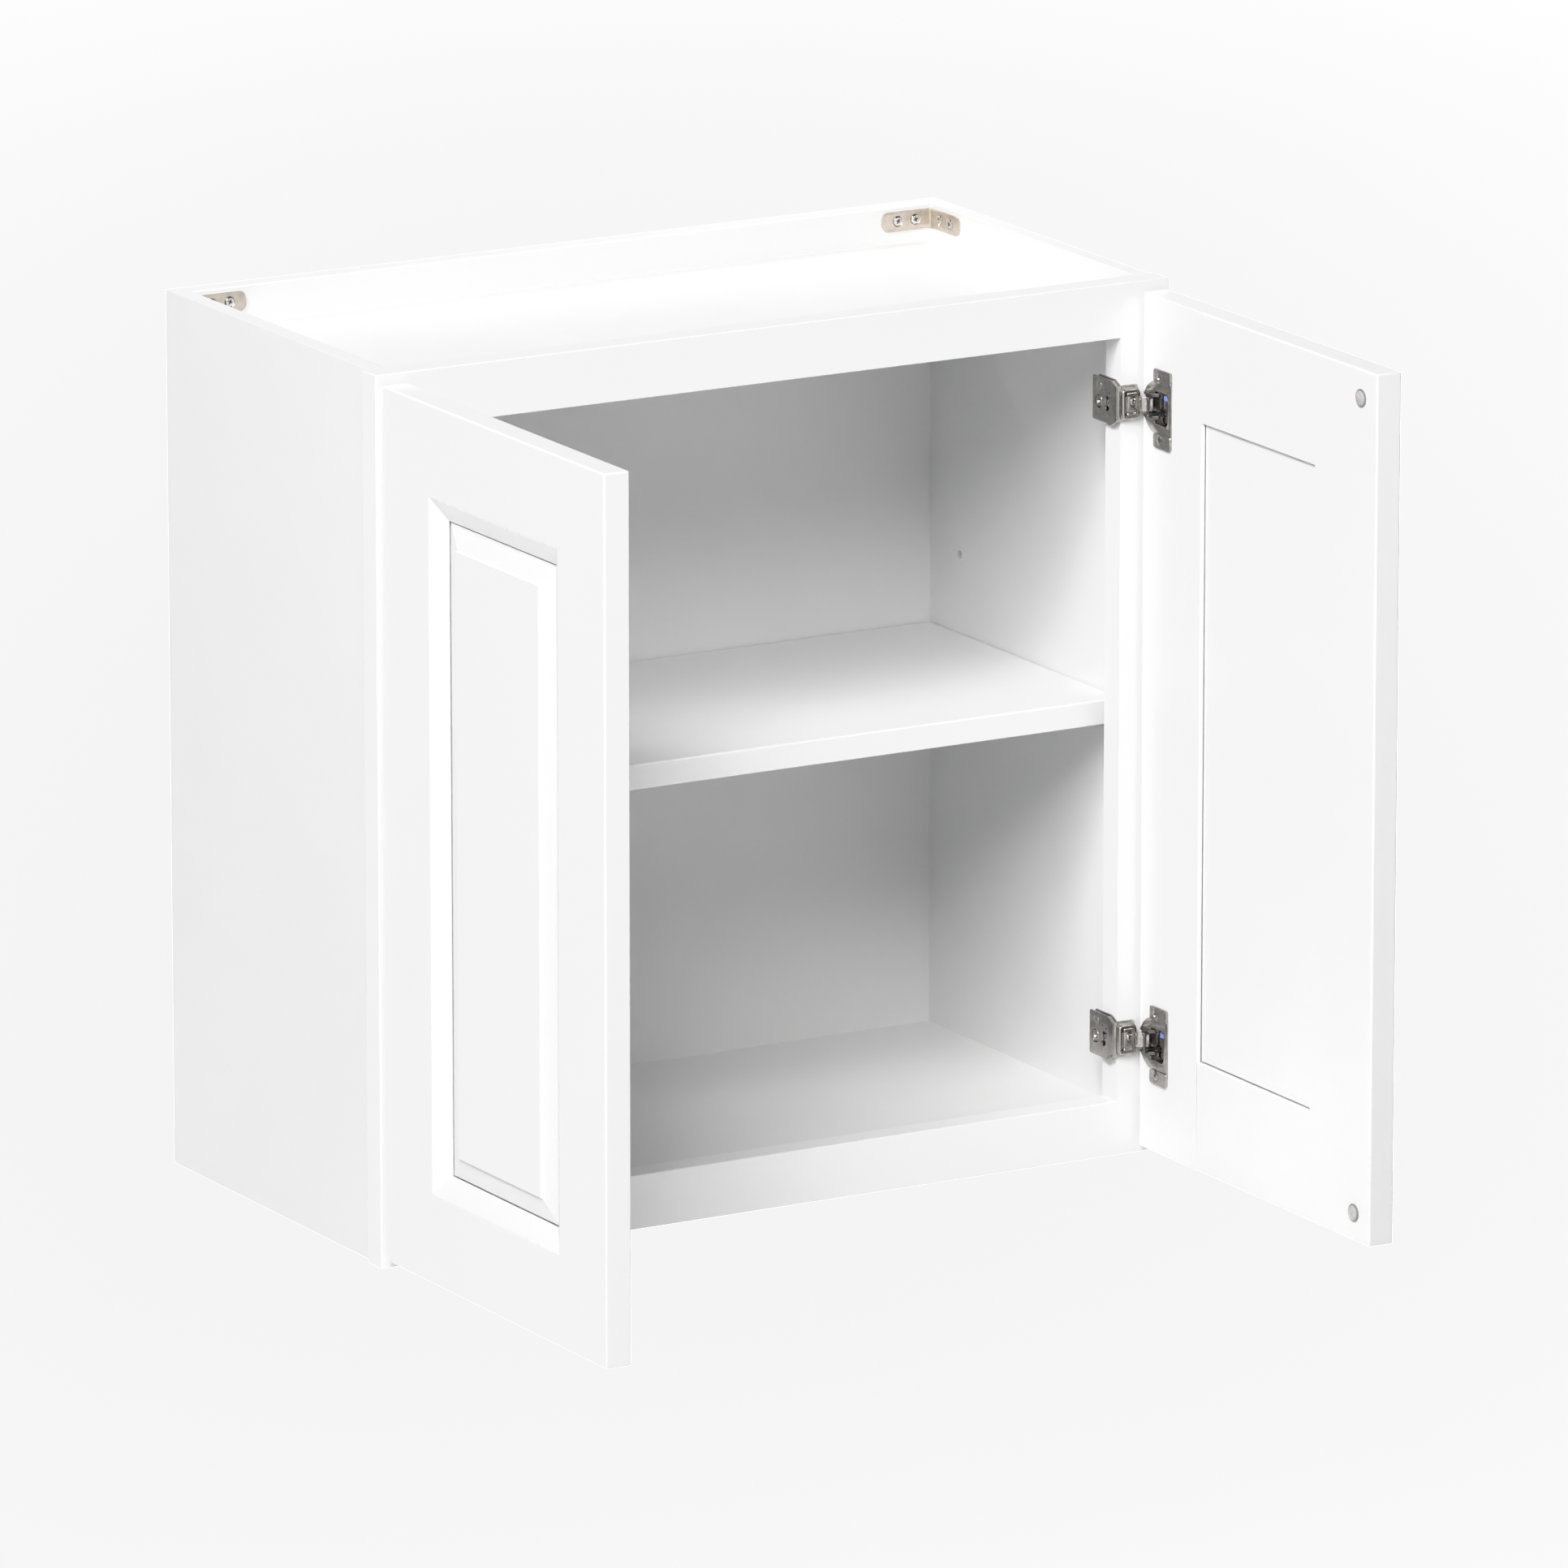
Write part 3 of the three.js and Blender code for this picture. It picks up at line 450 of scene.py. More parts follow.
def eased_mesh(node, radius, material, beside=(), inner=0.4):
    """A CAD node's mesh with its exposed edges rounded.

    An edge stays square if a part of it lies against a neighbour named in beside, so that joints
    close flush. An edge away from the node's own outline, such as a moulding's, is rounded by only
    the share inner of radius, and so is one that ends at a short edge, where roundings would cross.
    """
    low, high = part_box(node)
    touching = [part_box(other) for other in beside]
    shape = bmesh.new()
    shape.from_mesh(frame["nodes"][node].data)
    bmesh.ops.remove_doubles(shape, verts=shape.verts, dist=WELD)
    bmesh.ops.dissolve_limit(shape, angle_limit=math.radians(0.5), verts=shape.verts, edges=shape.edges,
                             delimit={"NORMAL"})
    weight = shape.edges.layers.float.new("bevel_weight_edge")

    def on_outline(point):
        faces = [min(abs(point[i] - low[i]), abs(point[i] - high[i])) < 10 * WELD for i in range(3)]
        return sum(faces) >= 2

    def crowded(edge):
        return any(other.calc_length() < SHORT_EDGE for v in edge.verts for other in v.link_edges)

    for edge in shape.edges:
        if not edge.is_manifold or edge.calc_face_angle() < GENTLE_BEND:
            continue
        ends = [v.co for v in edge.verts]
        along = [ends[0].lerp(ends[1], share) for share in (0.02, 0.5, 0.98)]
        covered = any(inside(p, box) for p in along for box in touching)
        if edge.is_convex and not covered and edge.calc_length() > SHORT_EDGE:
            full = all(on_outline(p) for p in ends) and not crowded(edge)
            edge[weight] = 1.0 if full else inner
    mesh = bpy.data.meshes.new(node)
    shape.to_mesh(mesh)
    shape.free()
    mesh.materials.append(material)
    # The rounded edges take the lighter edge paint: a painted highlight.
    mesh.materials.append(EDGE_PAINT_WITH_HIGHLIGHT)
    piece = shown("easing", mesh)
    bevel = piece.modifiers.new("ease", "BEVEL")
    bevel.width = radius
    bevel.segments = 3
    bevel.limit_method = "WEIGHT"
    bevel.use_clamp_overlap = False
    bevel.material = EASING
    bevel.miter_outer = "MITER_ARC"
    settle(piece)
    result = piece.data
    bpy.data.objects.remove(piece)
    flatten_between_easings(result)
    return result


def wooden(node, body, radius, material, beside=(), inner=0.4, holes=()):
    mesh = eased_mesh(node, radius, material, beside, inner)
    if holes:
        mesh = carved(mesh, holes)
    piece = shown(f"{node}_wood", mesh)
    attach(piece, body)
    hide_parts(node)
    return piece


def side_face(side):
    """X of a side panel's inner face."""
    low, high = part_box(f"side_{side}")
    return high.x if side == "left" else low.x


def mirror(sign):
    """Millimetres drawn for the right-hand side, as metres for either side."""
    return Matrix.Diagonal((sign * MM, MM, MM, 1))


PIN_ROWS = ("front", "back")
PIN_FLAT = 3.2  # the spoon's flat top above the peg's axis


def pin_place(side, row):
    """The point where a shelf pin's axis meets the side panel."""
    low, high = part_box(f"shelf_pin_{side}_{row}")
    return shift(side_face(side), (low.y + high.y) / 2, high.z - PIN_FLAT * MM)


def pin_holes(side, sign):
    """Cutters for the holes of the shelf pins and of the spare row above them."""
    lift = next(j for j in frame["joints"] if j["name"] == "shelf_lift")["range_m"][1]
    radius = 2.6
    depth = 8
    lip = 0.35
    wide = radius + lip
    drill = lathe([(0, -depth), (radius, -depth), (radius, -lip), (wide, 0), (wide, 1), (0, 1)], 32,
                  BARE_WOOD)
    cutters = []
    for row in PIN_ROWS:
        place = pin_place(side, row)
        for step in (0, lift):
            cutters.append(copied(drill, shift(0, 0, step) @ place @ mirror(sign) @ FACING_LEFT))
    return cutters


FRAME_EDGE = 0.0009
DOOR_EDGE = 0.0014
PANEL_EDGE = 0.0008
BOARD_EDGE = 0.0004
SHELF_EDGE = 0.0012


def build_carcass():
    for side, sign in SIDES.items():
        wooden(f"side_{side}", "cabinet", BOARD_EDGE, INTERIOR["z"],
               [f"frame_stile_{side}"], holes=pin_holes(side, sign))
        wooden(f"frame_stile_{side}", "cabinet", FRAME_EDGE, PAINT["z"],
               ["frame_rail_top", "frame_rail_bottom"])
    for end in ENDS:
        wooden(f"frame_rail_{end}", "cabinet", FRAME_EDGE, PAINT["x"],
               ["frame_stile_left", "frame_stile_right"])
        wooden(f"{end}_panel", "cabinet", PANEL_EDGE, INTERIOR["x"],
               ["side_left", "side_right", "back_panel", "frame_rail_top", "frame_rail_bottom"])
    wooden("back_panel", "cabinet", PANEL_EDGE, INTERIOR["z"], ["side_left", "side_right"])
    wooden("shelf", "shelf", SHELF_EDGE, INTERIOR["x"])


GAP_W = 0.0009
GAP_DEPTH = 0.0016
TONGUE_BELOW = 0.0087  # from the door's outer face down to the panel's tongue


def shadow_gaps(side):
    """Cutters for the narrow gap between the panel and the door's members, on both faces."""
    sign = SIDES[side]
    panel_low, panel_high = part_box(f"{side}_door_panel")
    rail_low, rail_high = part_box(f"{side}_door_rail_top")
    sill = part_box(f"{side}_door_rail_bottom")[1].z
    back, outer = (panel_low.x, rail_high.x) if sign > 0 else (panel_high.x, rail_low.x)
    tongue = outer - sign * TONGUE_BELOW
    spans = [(back - sign * GAP_DEPTH, back + sign * GAP_DEPTH), (tongue - sign * GAP_DEPTH, outer)]
    y0, y1, z0, z1 = rail_low.y, rail_high.y, sill, rail_low.z
    out = 2 * GAP_DEPTH
    strips = [
        (y0 - out, y0 + GAP_W, z0 - out, z1 + out), (y1 - GAP_W, y1 + out, z0 - out, z1 + out),
        (y0 - out, y1 + out, z0 - out, z0 + GAP_W), (y0 - out, y1 + out, z1 - GAP_W, z1 + out),
    ]
    cutters = []
    for x0, x1 in spans:
        for low_y, high_y, low_z, high_z in strips:
            shape = bmesh.new()
            bmesh.ops.create_cube(shape, size=1)
            size = Vector((abs(x1 - x0), high_y - low_y, high_z - low_z))
            middle = Vector((x0 + x1, low_y + high_y, low_z + high_z)) / 2
            shape.transform(Matrix.Translation(middle) @ Matrix.Diagonal((*size, 1)))
            cutters.append(mesh_of(shape, PAINT["z"]))
    return cutters


def build_door(side):
    rails = [f"{side}_door_rail_top", f"{side}_door_rail_bottom"]
    stiles = [f"{side}_door_stile_hinge", f"{side}_door_stile_free"]
    for stile in stiles:
        wooden(stile, f"{side}_door", DOOR_EDGE, PAINT["z"], rails)
    for rail in rails:
        wooden(rail, f"{side}_door", DOOR_EDGE, PAINT["y"], stiles)
    wooden(f"{side}_door_panel", f"{side}_door", PANEL_EDGE, PAINT["z"], inner=0.5,
           holes=shadow_gaps(side))


# ---------------------------------------------------------------- screws

def cross_recess(width, top, depth):
    """Cutters for the four-winged taper of a cross-head driver, going down depth from Z top."""
    narrow = width * 0.15
    wing = [(-width / 2, -narrow), (width / 2, -narrow), (width / 2, narrow), (-width / 2, narrow)]
    cutters = []
    for turn in (0, math.pi / 2):
        spin = Matrix.Rotation(turn, 4, "Z")
        shape = bmesh.new()
        mouth = [shape.verts.new(spin @ Vector((x, y, top + 0.4))) for x, y in wing]
        foot = [shape.verts.new(spin @ Vector((x * 0.45, y * 0.6, top - depth))) for x, y in wing]
        shape.faces.new(mouth)
        shape.faces.new(foot[::-1])
        for i in range(4):
            j = (i + 1) % 4
            shape.faces.new([mouth[i], foot[i], foot[j], mouth[j]])
        # The recess walls take the darker grey steel: painted shade in the recess.
        cutters.append(mesh_of(shape, GREY_STEEL_AND_RECESS_SHADE))
    return cutters


def screw_head(radius, rise, cone, material):
    """A domed cross-head, its rim at Z 0, with a countersunk underside and a short shank."""
    shank = radius * 0.5
    dome = quarter_dome(radius, 0, rise, range(15, 90, 15))
    profile = [(0, -cone - 3), (shank, -cone - 3), (shank, -cone), (radius * 0.97, -0.15),
               (radius, 0), *dome, (0, rise)]
    return carved(lathe(profile, 32, material), cross_recess(radius * 1.2, rise, 1.6))


# ---------------------------------------------------------------- corner brackets

BRACKET_LEG = 40
BRACKET_H = 13.2
BRACKET_T = 1.6
BRACKET_CORNER_R = 5
BRACKET_HOLES = (13.5, 27.5)
BRACKET_HOLE_R = 3.9
BRACKET_SCREW_R = 3.3
BEND_R = 2.6


def bent(mesh):
    """Bends a strip that runs along X into two legs at a right angle, its back towards the corner.

    The +X end comes to lie along -Y against the side panel, and the -X end along the back panel.
    """
    half = BEND_R * math.pi / 4
    for vertex in mesh.vertices:
        along, height, rise = vertex.co
        on_bend = max(-half, min(half, along))
        angle = math.pi / 4 - on_bend / BEND_R
        spoke = Vector((math.cos(angle), math.sin(angle), 0))
        onward = Vector((math.sin(angle), -math.cos(angle), 0))
        centre = Vector((-BEND_R, -BEND_R, height))
        vertex.co = centre + spoke * (BEND_R - rise) + onward * (along - on_bend)
    return mesh


def sliced(mesh, places):
    """Cuts a mesh's faces across X at each place, so that it can bend there."""
    shape = bmesh.new()
    shape.from_mesh(mesh)
    for place in places:
        geom = shape.verts[:] + shape.edges[:] + shape.faces[:]
        bmesh.ops.bisect_plane(shape, geom=geom, dist=1e-5, plane_co=(place, 0, 0), plane_no=(1, 0, 0))
    shape.to_mesh(mesh)
    shape.free()
    return mesh


def corner_bracket():
    half = BEND_R * math.pi / 4
    flat = half - BEND_R
    reach = BRACKET_LEG + flat
    outline = rounded_box(-reach, reach, -BRACKET_H / 2, BRACKET_H / 2, BRACKET_CORNER_R, 7)
    strip = prism(outline, 0, BRACKET_T, 0.3, WARM_NICKEL)
    sink = lathe([(0, -1), (BRACKET_HOLE_R - 2.2, -1), (BRACKET_HOLE_R - 2, 0.2),
                  (BRACKET_HOLE_R, BRACKET_T), (BRACKET_HOLE_R + 0.5, BRACKET_T + 1),
                  (0, BRACKET_T + 1)], 28, WARM_NICKEL)
    centres = [sign * (hole + flat) for hole in BRACKET_HOLES for sign in (-1, 1)]
    strip = carved(strip, [copied(sink, shift(x, 0, 0)) for x in centres])
    steps = 8
    return bent(sliced(strip, [half * (2 * i / steps - 1) for i in range(steps + 1)]))


def build_corner_brackets():
    bracket = corner_bracket()
    screw = screw_head(BRACKET_SCREW_R, 0.55, 1.1, ZINC)
    for side, sign in SIDES.items():
        low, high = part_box(f"corner_bracket_{side}")
        corner = shift(side_face(side), high.y, (low.z + high.z) / 2) @ mirror(sign)
        add_piece(f"corner_bracket_{side}_strip", copied(bracket, corner), "cabinet",
                  f"corner_bracket_{side}")
        for i, hole in enumerate(BRACKET_HOLES, 1):
            turns = math.radians(35 + 50 * i + 20 * sign)
            spin = Matrix.Rotation(turns, 4, "Z")
            faces = {
                "side": shift(-BRACKET_T, -hole, 0) @ FACING_LEFT,
                "back": shift(-hole, -BRACKET_T, 0) @ FACING_FRONT,
            }
            for face, place in faces.items():
                node = f"corner_screw_{side}_{face}_{i}"
                add_piece(f"{node}_head", copied(screw, corner @ place @ spin), "cabinet", node)


# ---------------------------------------------------------------- shelf pins and bumpers

def build_shelf_pins():
    spoon_half = 4
    lip = PIN_FLAT - 1
    outline = [(spoon_half, lip), (spoon_half, PIN_FLAT), (-spoon_half, PIN_FLAT), (-spoon_half, lip)]
    outline += arc(0, 0, 2.5, 180, 360, 10)
    spoon = moved(prism(outline, -10, -0.6, 0.35, ZINC), ALONG_X)
    peg = lathe([(0, -7), (1.9, -7), (2.5, -6.3), (2.5, 0), (3, 0), (3, 0.8), (2.8, 1), (0, 1)], 28, ZINC)
    pin = joined([spoon, moved(peg, FACING_LEFT)])
    for side, sign in SIDES.items():
        for row in PIN_ROWS:
            node = f"shelf_pin_{side}_{row}"
            place = pin_place(side, row) @ mirror(sign)
            add_piece(f"{node}_spoon", copied(pin, place), "cabinet", node)


def build_bumpers():
    low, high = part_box("right_bumper_top")
    radius = (high.z - low.z) / 2 / MM
    rise = 2.7
    # The rim takes the darker rubber: painted shade round the bumper's edge.
    rim = lathe([(0, 0), (radius, 0), (radius, 0.7), (radius - 0.5, 1.1), (0, 1.1)], 40, BUMPER_RIM_SHADE)
    dome = quarter_dome(radius - 0.8, 0.5, rise - 0.5, range(0, 80, 10))
    nub = [(1.9, rise), (1.8, rise + 0.3), (1.4, rise + 0.45), (0, rise + 0.5)]
    cap = lathe([(0, 0.2), (radius - 0.8, 0.2), *dome, *nub], 40, BUMPER)
    bumper = joined([rim, cap])
    for side, sign in SIDES.items():
        for end in ENDS:
            node = f"{side}_bumper_{end}"
            low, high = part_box(node)
            face = high.x if side == "right" else low.x
            place = shift(face, (low.y + high.y) / 2, (low.z + high.z) / 2) @ mirror(sign) @ FACING_LEFT
            add_piece(f"{node}_dome", copied(bumper, place), f"{side}_door", node)


# ---------------------------------------------------------------- hinges
# Hinge drawings have their origin on the hinge axis, at the hinge's own mid-height. With the door
# open, its inner face is at X DOOR_FACE and its hinge edge at Y DOOR_RIM; the cabinet's face frame
# starts at Y FRAME_FACE, with its inner edge at X FRAME_RIM.

DOOR_FACE = -7.85
DOOR_RIM = 8.2
FRAME_FACE = 11.4
FRAME_RIM = -23.5

CUP_CENTRE = DOOR_RIM - 20.5
CUP_R = 17.4
CUP_CAVITY_R = 16
CUP_FLOOR = DOOR_FACE + 10
FLANGE_R = 18.6
FLANGE_T = 1.1
MOUTH_HALF = 7.3
SLOT_HALF = 9
SLOT_END = -3.9
OPENING_HALF = 11.3
OPENING_END = 13.6
TAB_FROM = -3.6
TAB_TO = 17.9
TAB_INNER = 17.6
TAB_OUTER = 27.1
TAB_T = 2
CUP_SCREW = (4.2, 21.4)
CUP_SCREW_R = 3.4

HOUSING_TOP = DOOR_FACE + 1.95
HOUSING_UP = (-6.6, 4.9)
LINK_TURN = 28
LINK_LENGTH = 14.3
LINK_HALF = 1.6
CHEEK_FROM = 5.4
CHEEK_TO = 6.4
RAIL_FROM = 6.7
RAIL_TO = 8.8

WRAP_OUT = FRAME_RIM - 4.1
WRAP_BACK = FRAME_FACE + 29.6
WRAP_HALF = 15.3
WRAP_FRONT = FRAME_FACE - 1.7
WRAP_FRONT_HALF = 11.4
TRAY_TO = -10.8
TRAY_HALF = 12.6
HAT_FRONT = 6.4
HAT_FROM = -24.8
HAT_HALF = 10.1
HAT_FOOT_FROM = -25.4
HAT_FOOT_HALF = 11.8
RECESS_DEPTH = 0.7
BAR_PLACE = 7
ARM_HALF = 5
CAM_PLACE = (33, -1.8)
OVAL_PLACE = (22.2, -1.6)


def from_cup(points):
    """Points given from the cup's centre, away from the hinge edge and up, as a drawing's (Y, Z)."""
    return [(CUP_CENTRE - away, up) for away, up in points]


def on_circle(radius, up):
    """How far from the cup's centre a circle is at a height."""
    return math.sqrt(radius ** 2 - up ** 2)


def degrees(away, up):
    return math.degrees(math.atan2(up, away))


def half_flange():
    """The upper half of the flange's outline: out round the rim, then back along the opening."""
    rim_start = degrees(-on_circle(FLANGE_R, MOUTH_HALF), MOUTH_HALF)
    rim_tab = degrees(TAB_FROM, on_circle(FLANGE_R, TAB_FROM))
    outer = arc(0, 0, FLANGE_R, rim_start, rim_tab, 10)
    outer += [(TAB_FROM, TAB_INNER + 3), (TAB_TO, TAB_INNER + 3)]
    open_flat = degrees(on_circle(CUP_CAVITY_R, OPENING_HALF), OPENING_HALF)
    open_side = degrees(OPENING_END, on_circle(CUP_CAVITY_R, OPENING_END))
    inner = [(-15.4, MOUTH_HALF), (-13.6, SLOT_HALF), (SLOT_END - 0.6, SLOT_HALF)]
    inner += arc(SLOT_END - 0.6, SLOT_HALF + 1, 1, -90, 0, 3)
    inner += arc(SLOT_END + 1.4, OPENING_HALF - 1, 1, 180, 90, 3)
    inner += arc(0, 0, CUP_CAVITY_R, open_flat, open_side, 3)
    return outer, inner


def cup_flange():
    outer, inner = half_flange()
    below = [(away, -up) for away, up in reversed(outer)]
    inner_below = [(away, -up) for away, up in inner]
    outline = from_cup(outer + below + inner_below + inner[::-1])
    plate = slab_x(outline, DOOR_FACE - FLANGE_T, DOOR_FACE, 0.3, NICKEL)
    wide = CUP_SCREW_R + 0.5
    sink = lathe([(0, -3), (2.2, -3), (CUP_SCREW_R - 0.8, -1), (wide, 0), (wide, 1), (0, 1)], 28, NICKEL)
    sink = moved(sink, FACING_LEFT)
    tabs = []
    for up in (1, -1):
        z0, z1 = sorted((up * TAB_INNER, up * TAB_OUTER))
        outline = rounded_box(CUP_CENTRE - TAB_TO, CUP_CENTRE - TAB_FROM, z0, z1, 1.9)
        tab = slab_x(outline, DOOR_FACE - TAB_T, DOOR_FACE, 0.5, NICKEL, 3, False)
        away, high = CUP_SCREW
        hole = shift(DOOR_FACE - TAB_T, CUP_CENTRE - away, up * high)
        tabs.append(carved(tab, [copied(sink, hole)]))
    return joined([plate, *tabs])


def cup_drum():
    """The cup sunk in the door, with a notch in its rim where the arm comes in."""
    rim = -DOOR_FACE
    floor = -CUP_FLOOR
    drum = lathe([
        (0, floor - 1), (15.5, floor - 1), (CUP_R, floor + 0.6), (CUP_R, rim), (CUP_CAVITY_R, rim),
        (CUP_CAVITY_R, floor + 1.8), (CUP_CAVITY_R - 0.5, floor + 0.7), (CUP_CAVITY_R - 1.8, floor),
        (0, floor),
    ], 56, NICKEL)
    mouth_box = rounded_box(-MOUTH_HALF, MOUTH_HALF, -CUP_R - 2, -14, 1)
    mouth = prism(mouth_box, rim - 4, rim + 2, 0, NICKEL)
    drum = carved(drum, [moved(mouth, Matrix.Rotation(-math.pi / 2, 4, "Z"))])
    turn = shift(0, CUP_CENTRE, 0) @ ALONG_X @ Matrix.Diagonal((-1, 1, -1, 1))
    return moved(drum, turn)


def damper_housing():
    """Dark plastic block at the far side of the cup, with ribs, a lower arm and a round barrel."""
    top = HOUSING_TOP
    low, high = HOUSING_UP
    blocks = [
        (rounded_box(3.7, 13, low, high, 0.8), top + 1.2, 0.3),
        (rounded_box(5, 11.3, -10.2, low + 1, 0.8), top, 0.4),
    ]
    ribs = [(rounded_box(4, 12.6, z - 0.4, z + 0.4, 0.3), top + 0.2, 0.15) for z in (-4.2, -1, 2.2)]
    parts = [slab_x(from_cup(outline), front, CUP_FLOOR, edge, DARK_PLASTIC)
             for outline, front, edge in blocks + ribs]
    radius = 3.9
    end = radius - 0.7
    barrel = lathe([(0, low + 0.2), (end, low + 0.2), (radius, low + 0.9), (radius, high - 0.9),
                    (end, high - 0.2), (0, high - 0.2)], 32, DARK_PLASTIC)
    parts.append(moved(barrel, shift(top + radius, CUP_CENTRE - 8.2, 0)))
    return joined(parts)


def soft_close_switch():
    outline = from_cup(rounded_box(3.9, 8.9, HOUSING_UP[1] + 0.4, 9.4, 0.7))
    return slab_x(outline, HOUSING_TOP - 0.3, CUP_FLOOR, 0.6, BLUE_PLASTIC, 3)


def cup_rails():
    """Two dark side rails along the cup's slot, their far ends dropping into the cup."""
    outline = [(-4.6, 2.2), (-9.4, 2.2), (-9.4, 3.4), (-9.7, 3.7), (-9.7, -6.6), (-9.2, -7.3),
               (-6.1, -9.6), (-6.1, -13.4), (-5.6, -14), (-3.4, -14), (-3.4, -2), (-4.6, 0)]
    rivets = ((-4.8, -12, 1.1), (-8.4, 0.6, 0.9))
    parts = []
    for z0, z1 in ((RAIL_FROM, RAIL_TO), (-RAIL_TO, -RAIL_FROM)):
        parts.append(prism(outline[::-1], z0, z1, 0.35, DARK_STEEL_AND_HOLE_SHADE))
        for x, y, radius in rivets:
            parts.append(moved(cylinder(radius, z0 - 0.1, z1 + 0.1, 20, GREY_STEEL_AND_RECESS_SHADE), shift(x, y, 0)))
    return joined(parts)


def hinge_link():
    """Two cheeks on the pin, with a rod through their far ends."""
    outline = arc(0, 0, LINK_HALF, -90, 90, 10) + arc(-LINK_LENGTH, 0, LINK_HALF, 90, 270, 10)
    parts = [prism(outline, z0, z1, 0.25, DARK_STEEL_AND_HOLE_SHADE) for z0, z1 in
             ((CHEEK_FROM, CHEEK_TO), (-CHEEK_TO, -CHEEK_FROM))]
    rod_r = 0.9
    head = 0.25
    for radius, x in ((rod_r, -LINK_LENGTH), (1.3, 0)):
        for up in (1, -1):
            outline = [(0, 0), (radius, 0), (radius, head / 2), (radius * 0.6, head), (0, head)]
            rivet = lathe(outline, 20, DARK_STEEL_AND_HOLE_SHADE)
            flip = Matrix.Identity(4) if up > 0 else Matrix.Rotation(math.pi, 4, "X")
            parts.append(moved(rivet, shift(x, 0, up * CHEEK_TO) @ flip))
    rod = cylinder(rod_r, -CHEEK_TO, CHEEK_TO, 20, DARK_STEEL_AND_HOLE_SHADE)
    parts.append(moved(rod, shift(-LINK_LENGTH, 0, 0)))
    return moved(joined(parts), Matrix.Rotation(math.radians(LINK_TURN), 4, "Z"))


def hinge_pin():
    end = 9
    return lathe([(0, -end), (0.7, -end), (1, -end + 0.3), (1, end - 0.3), (0.7, end), (0, end)], 24, ZINC)


def hinge_arm():
    """The strip that bends from the tray over the door's edge and slants down to the pin."""
    outer, thick = -12.6, 1.3
    outline = [(outer + thick, FRAME_FACE - 1), (outer, FRAME_FACE - 1)]
    outline += arc(outer + 2.5, 3.6, 2.5, 180, 215, 4)
    outline += arc(-5.2, 0.6, 2.5, 235, 270, 4)
    outline += arc(0, 0, 1.9, -90, 150, 16)
    outline += arc(-5.2, 1.9, 1.4, 270, 240, 3)
    outline += arc(outer + thick + 1.6, 4.7, 1.6, 225, 180, 4)
    return prism(outline, -ARM_HALF, ARM_HALF, 0.25, NICKEL_X)


def hat_body():
    """The tray's raised middle, a box with three sloping sides, drawn in (Z, X) with Y as height."""
    foot = [(-HAT_FOOT_HALF, HAT_FOOT_FROM), (HAT_FOOT_HALF, HAT_FOOT_FROM), (HAT_FOOT_HALF, TRAY_TO),
            (-HAT_FOOT_HALF, TRAY_TO)]
    crown = [(-HAT_HALF, HAT_FROM), (HAT_HALF, HAT_FROM), (HAT_HALF, TRAY_TO), (-HAT_HALF, TRAY_TO)]
    shape = bmesh.new()
    lower = [shape.verts.new((z, x, FRAME_FACE - 0.4)) for z, x in foot]
    upper = [shape.verts.new((z, x, HAT_FRONT)) for z, x in crown]
    shape.faces.new(lower)
    shape.faces.new(upper)
    for i in range(4):
        j = (i + 1) % 4
        shape.faces.new([lower[i], lower[j], upper[j], upper[i]])
    corners = [e for e in shape.edges if (e.verts[0] in lower) != (e.verts[1] in lower)]
    bmesh.ops.bevel(shape, geom=corners, offset=2.8, segments=3, profile=0.5, affect="EDGES")
    rims = [e for e in shape.edges if all(abs(v.co.z - HAT_FRONT) < 1e-4 for v in e.verts)]
    bmesh.ops.bevel(shape, geom=rims, offset=0.5, segments=2, profile=0.5, affect="EDGES")
    return moved(mesh_of(shape, NICKEL), ALONG_Y)


def tray():
    """The plate on the frame's front, its raised hat, and what is pressed into the hat."""
    base_outline = rounded_box(-TRAY_HALF, TRAY_HALF, WRAP_OUT + 0.2, TRAY_TO, 1.6)
    base = slab_y(base_outline, FRAME_FACE - 1.5, FRAME_FACE, 0.35, NICKEL)
    ground = HAT_FRONT + RECESS_DEPTH
    cutters = [slab_y(rounded_box(-8.7, 8.7, -23.2, -12.4, 0.8), HAT_FRONT - 1, ground, 0, NICKEL)]
    for x0, x1 in ((-22.7, -20.9), (-13.9, -12.9)):
        for z in (-BAR_PLACE, BAR_PLACE):
            well = rounded_box(z - 1, z + 1, x0, x1, 0.4)
            # The wells' walls and floors take the dark steel: painted shade in the wells.
            cutters.append(slab_y(well, HAT_FRONT, HAT_FRONT + 2.6, 0, DARK_STEEL_AND_HOLE_SHADE))
    hat = carved(hat_body(), cutters)
    pad = slab_y(rounded_box(-5.6, 5.6, -20.6, -12.9, 0.7), ground - 0.45, ground + 0.2, 0.2, NICKEL)
    ridge = slab_y(rounded_box(-5.2, 5.2, -21.7, -21.2, 0.2), ground - 0.3, ground + 0.2, 0.12, NICKEL)
    bars = []
    half_bar = [(0.95, 3.3), (0.75, 3.6), (0, 3.6)]
    for z in (-BAR_PLACE, BAR_PLACE):
        bar = lathe([(r, -along) for r, along in reversed(half_bar)] + half_bar, 20, NICKEL_X)
        lie = Matrix.Rotation(math.pi / 2, 4, "Y")
        bars.append(moved(bar, shift(-17.2, ground + 0.05, z) @ lie))
    return joined([base, hat, pad, ridge, *bars])


def tray_rivet():
    dome = quarter_dome(2.5, 0.25, 0.85, range(0, 75, 12))
    profile = [(0, -0.6), (3, -0.6), (3, 0.15), (2.6, 0.25), *dome, (0.7, 1.05), (0.5, 0.8), (0, 0.8)]
    seat = HAT_FRONT + RECESS_DEPTH + 0.05
    return moved(lathe(profile, 36, NICKEL), shift(-16.2, seat, 1.4) @ FACING_FRONT)


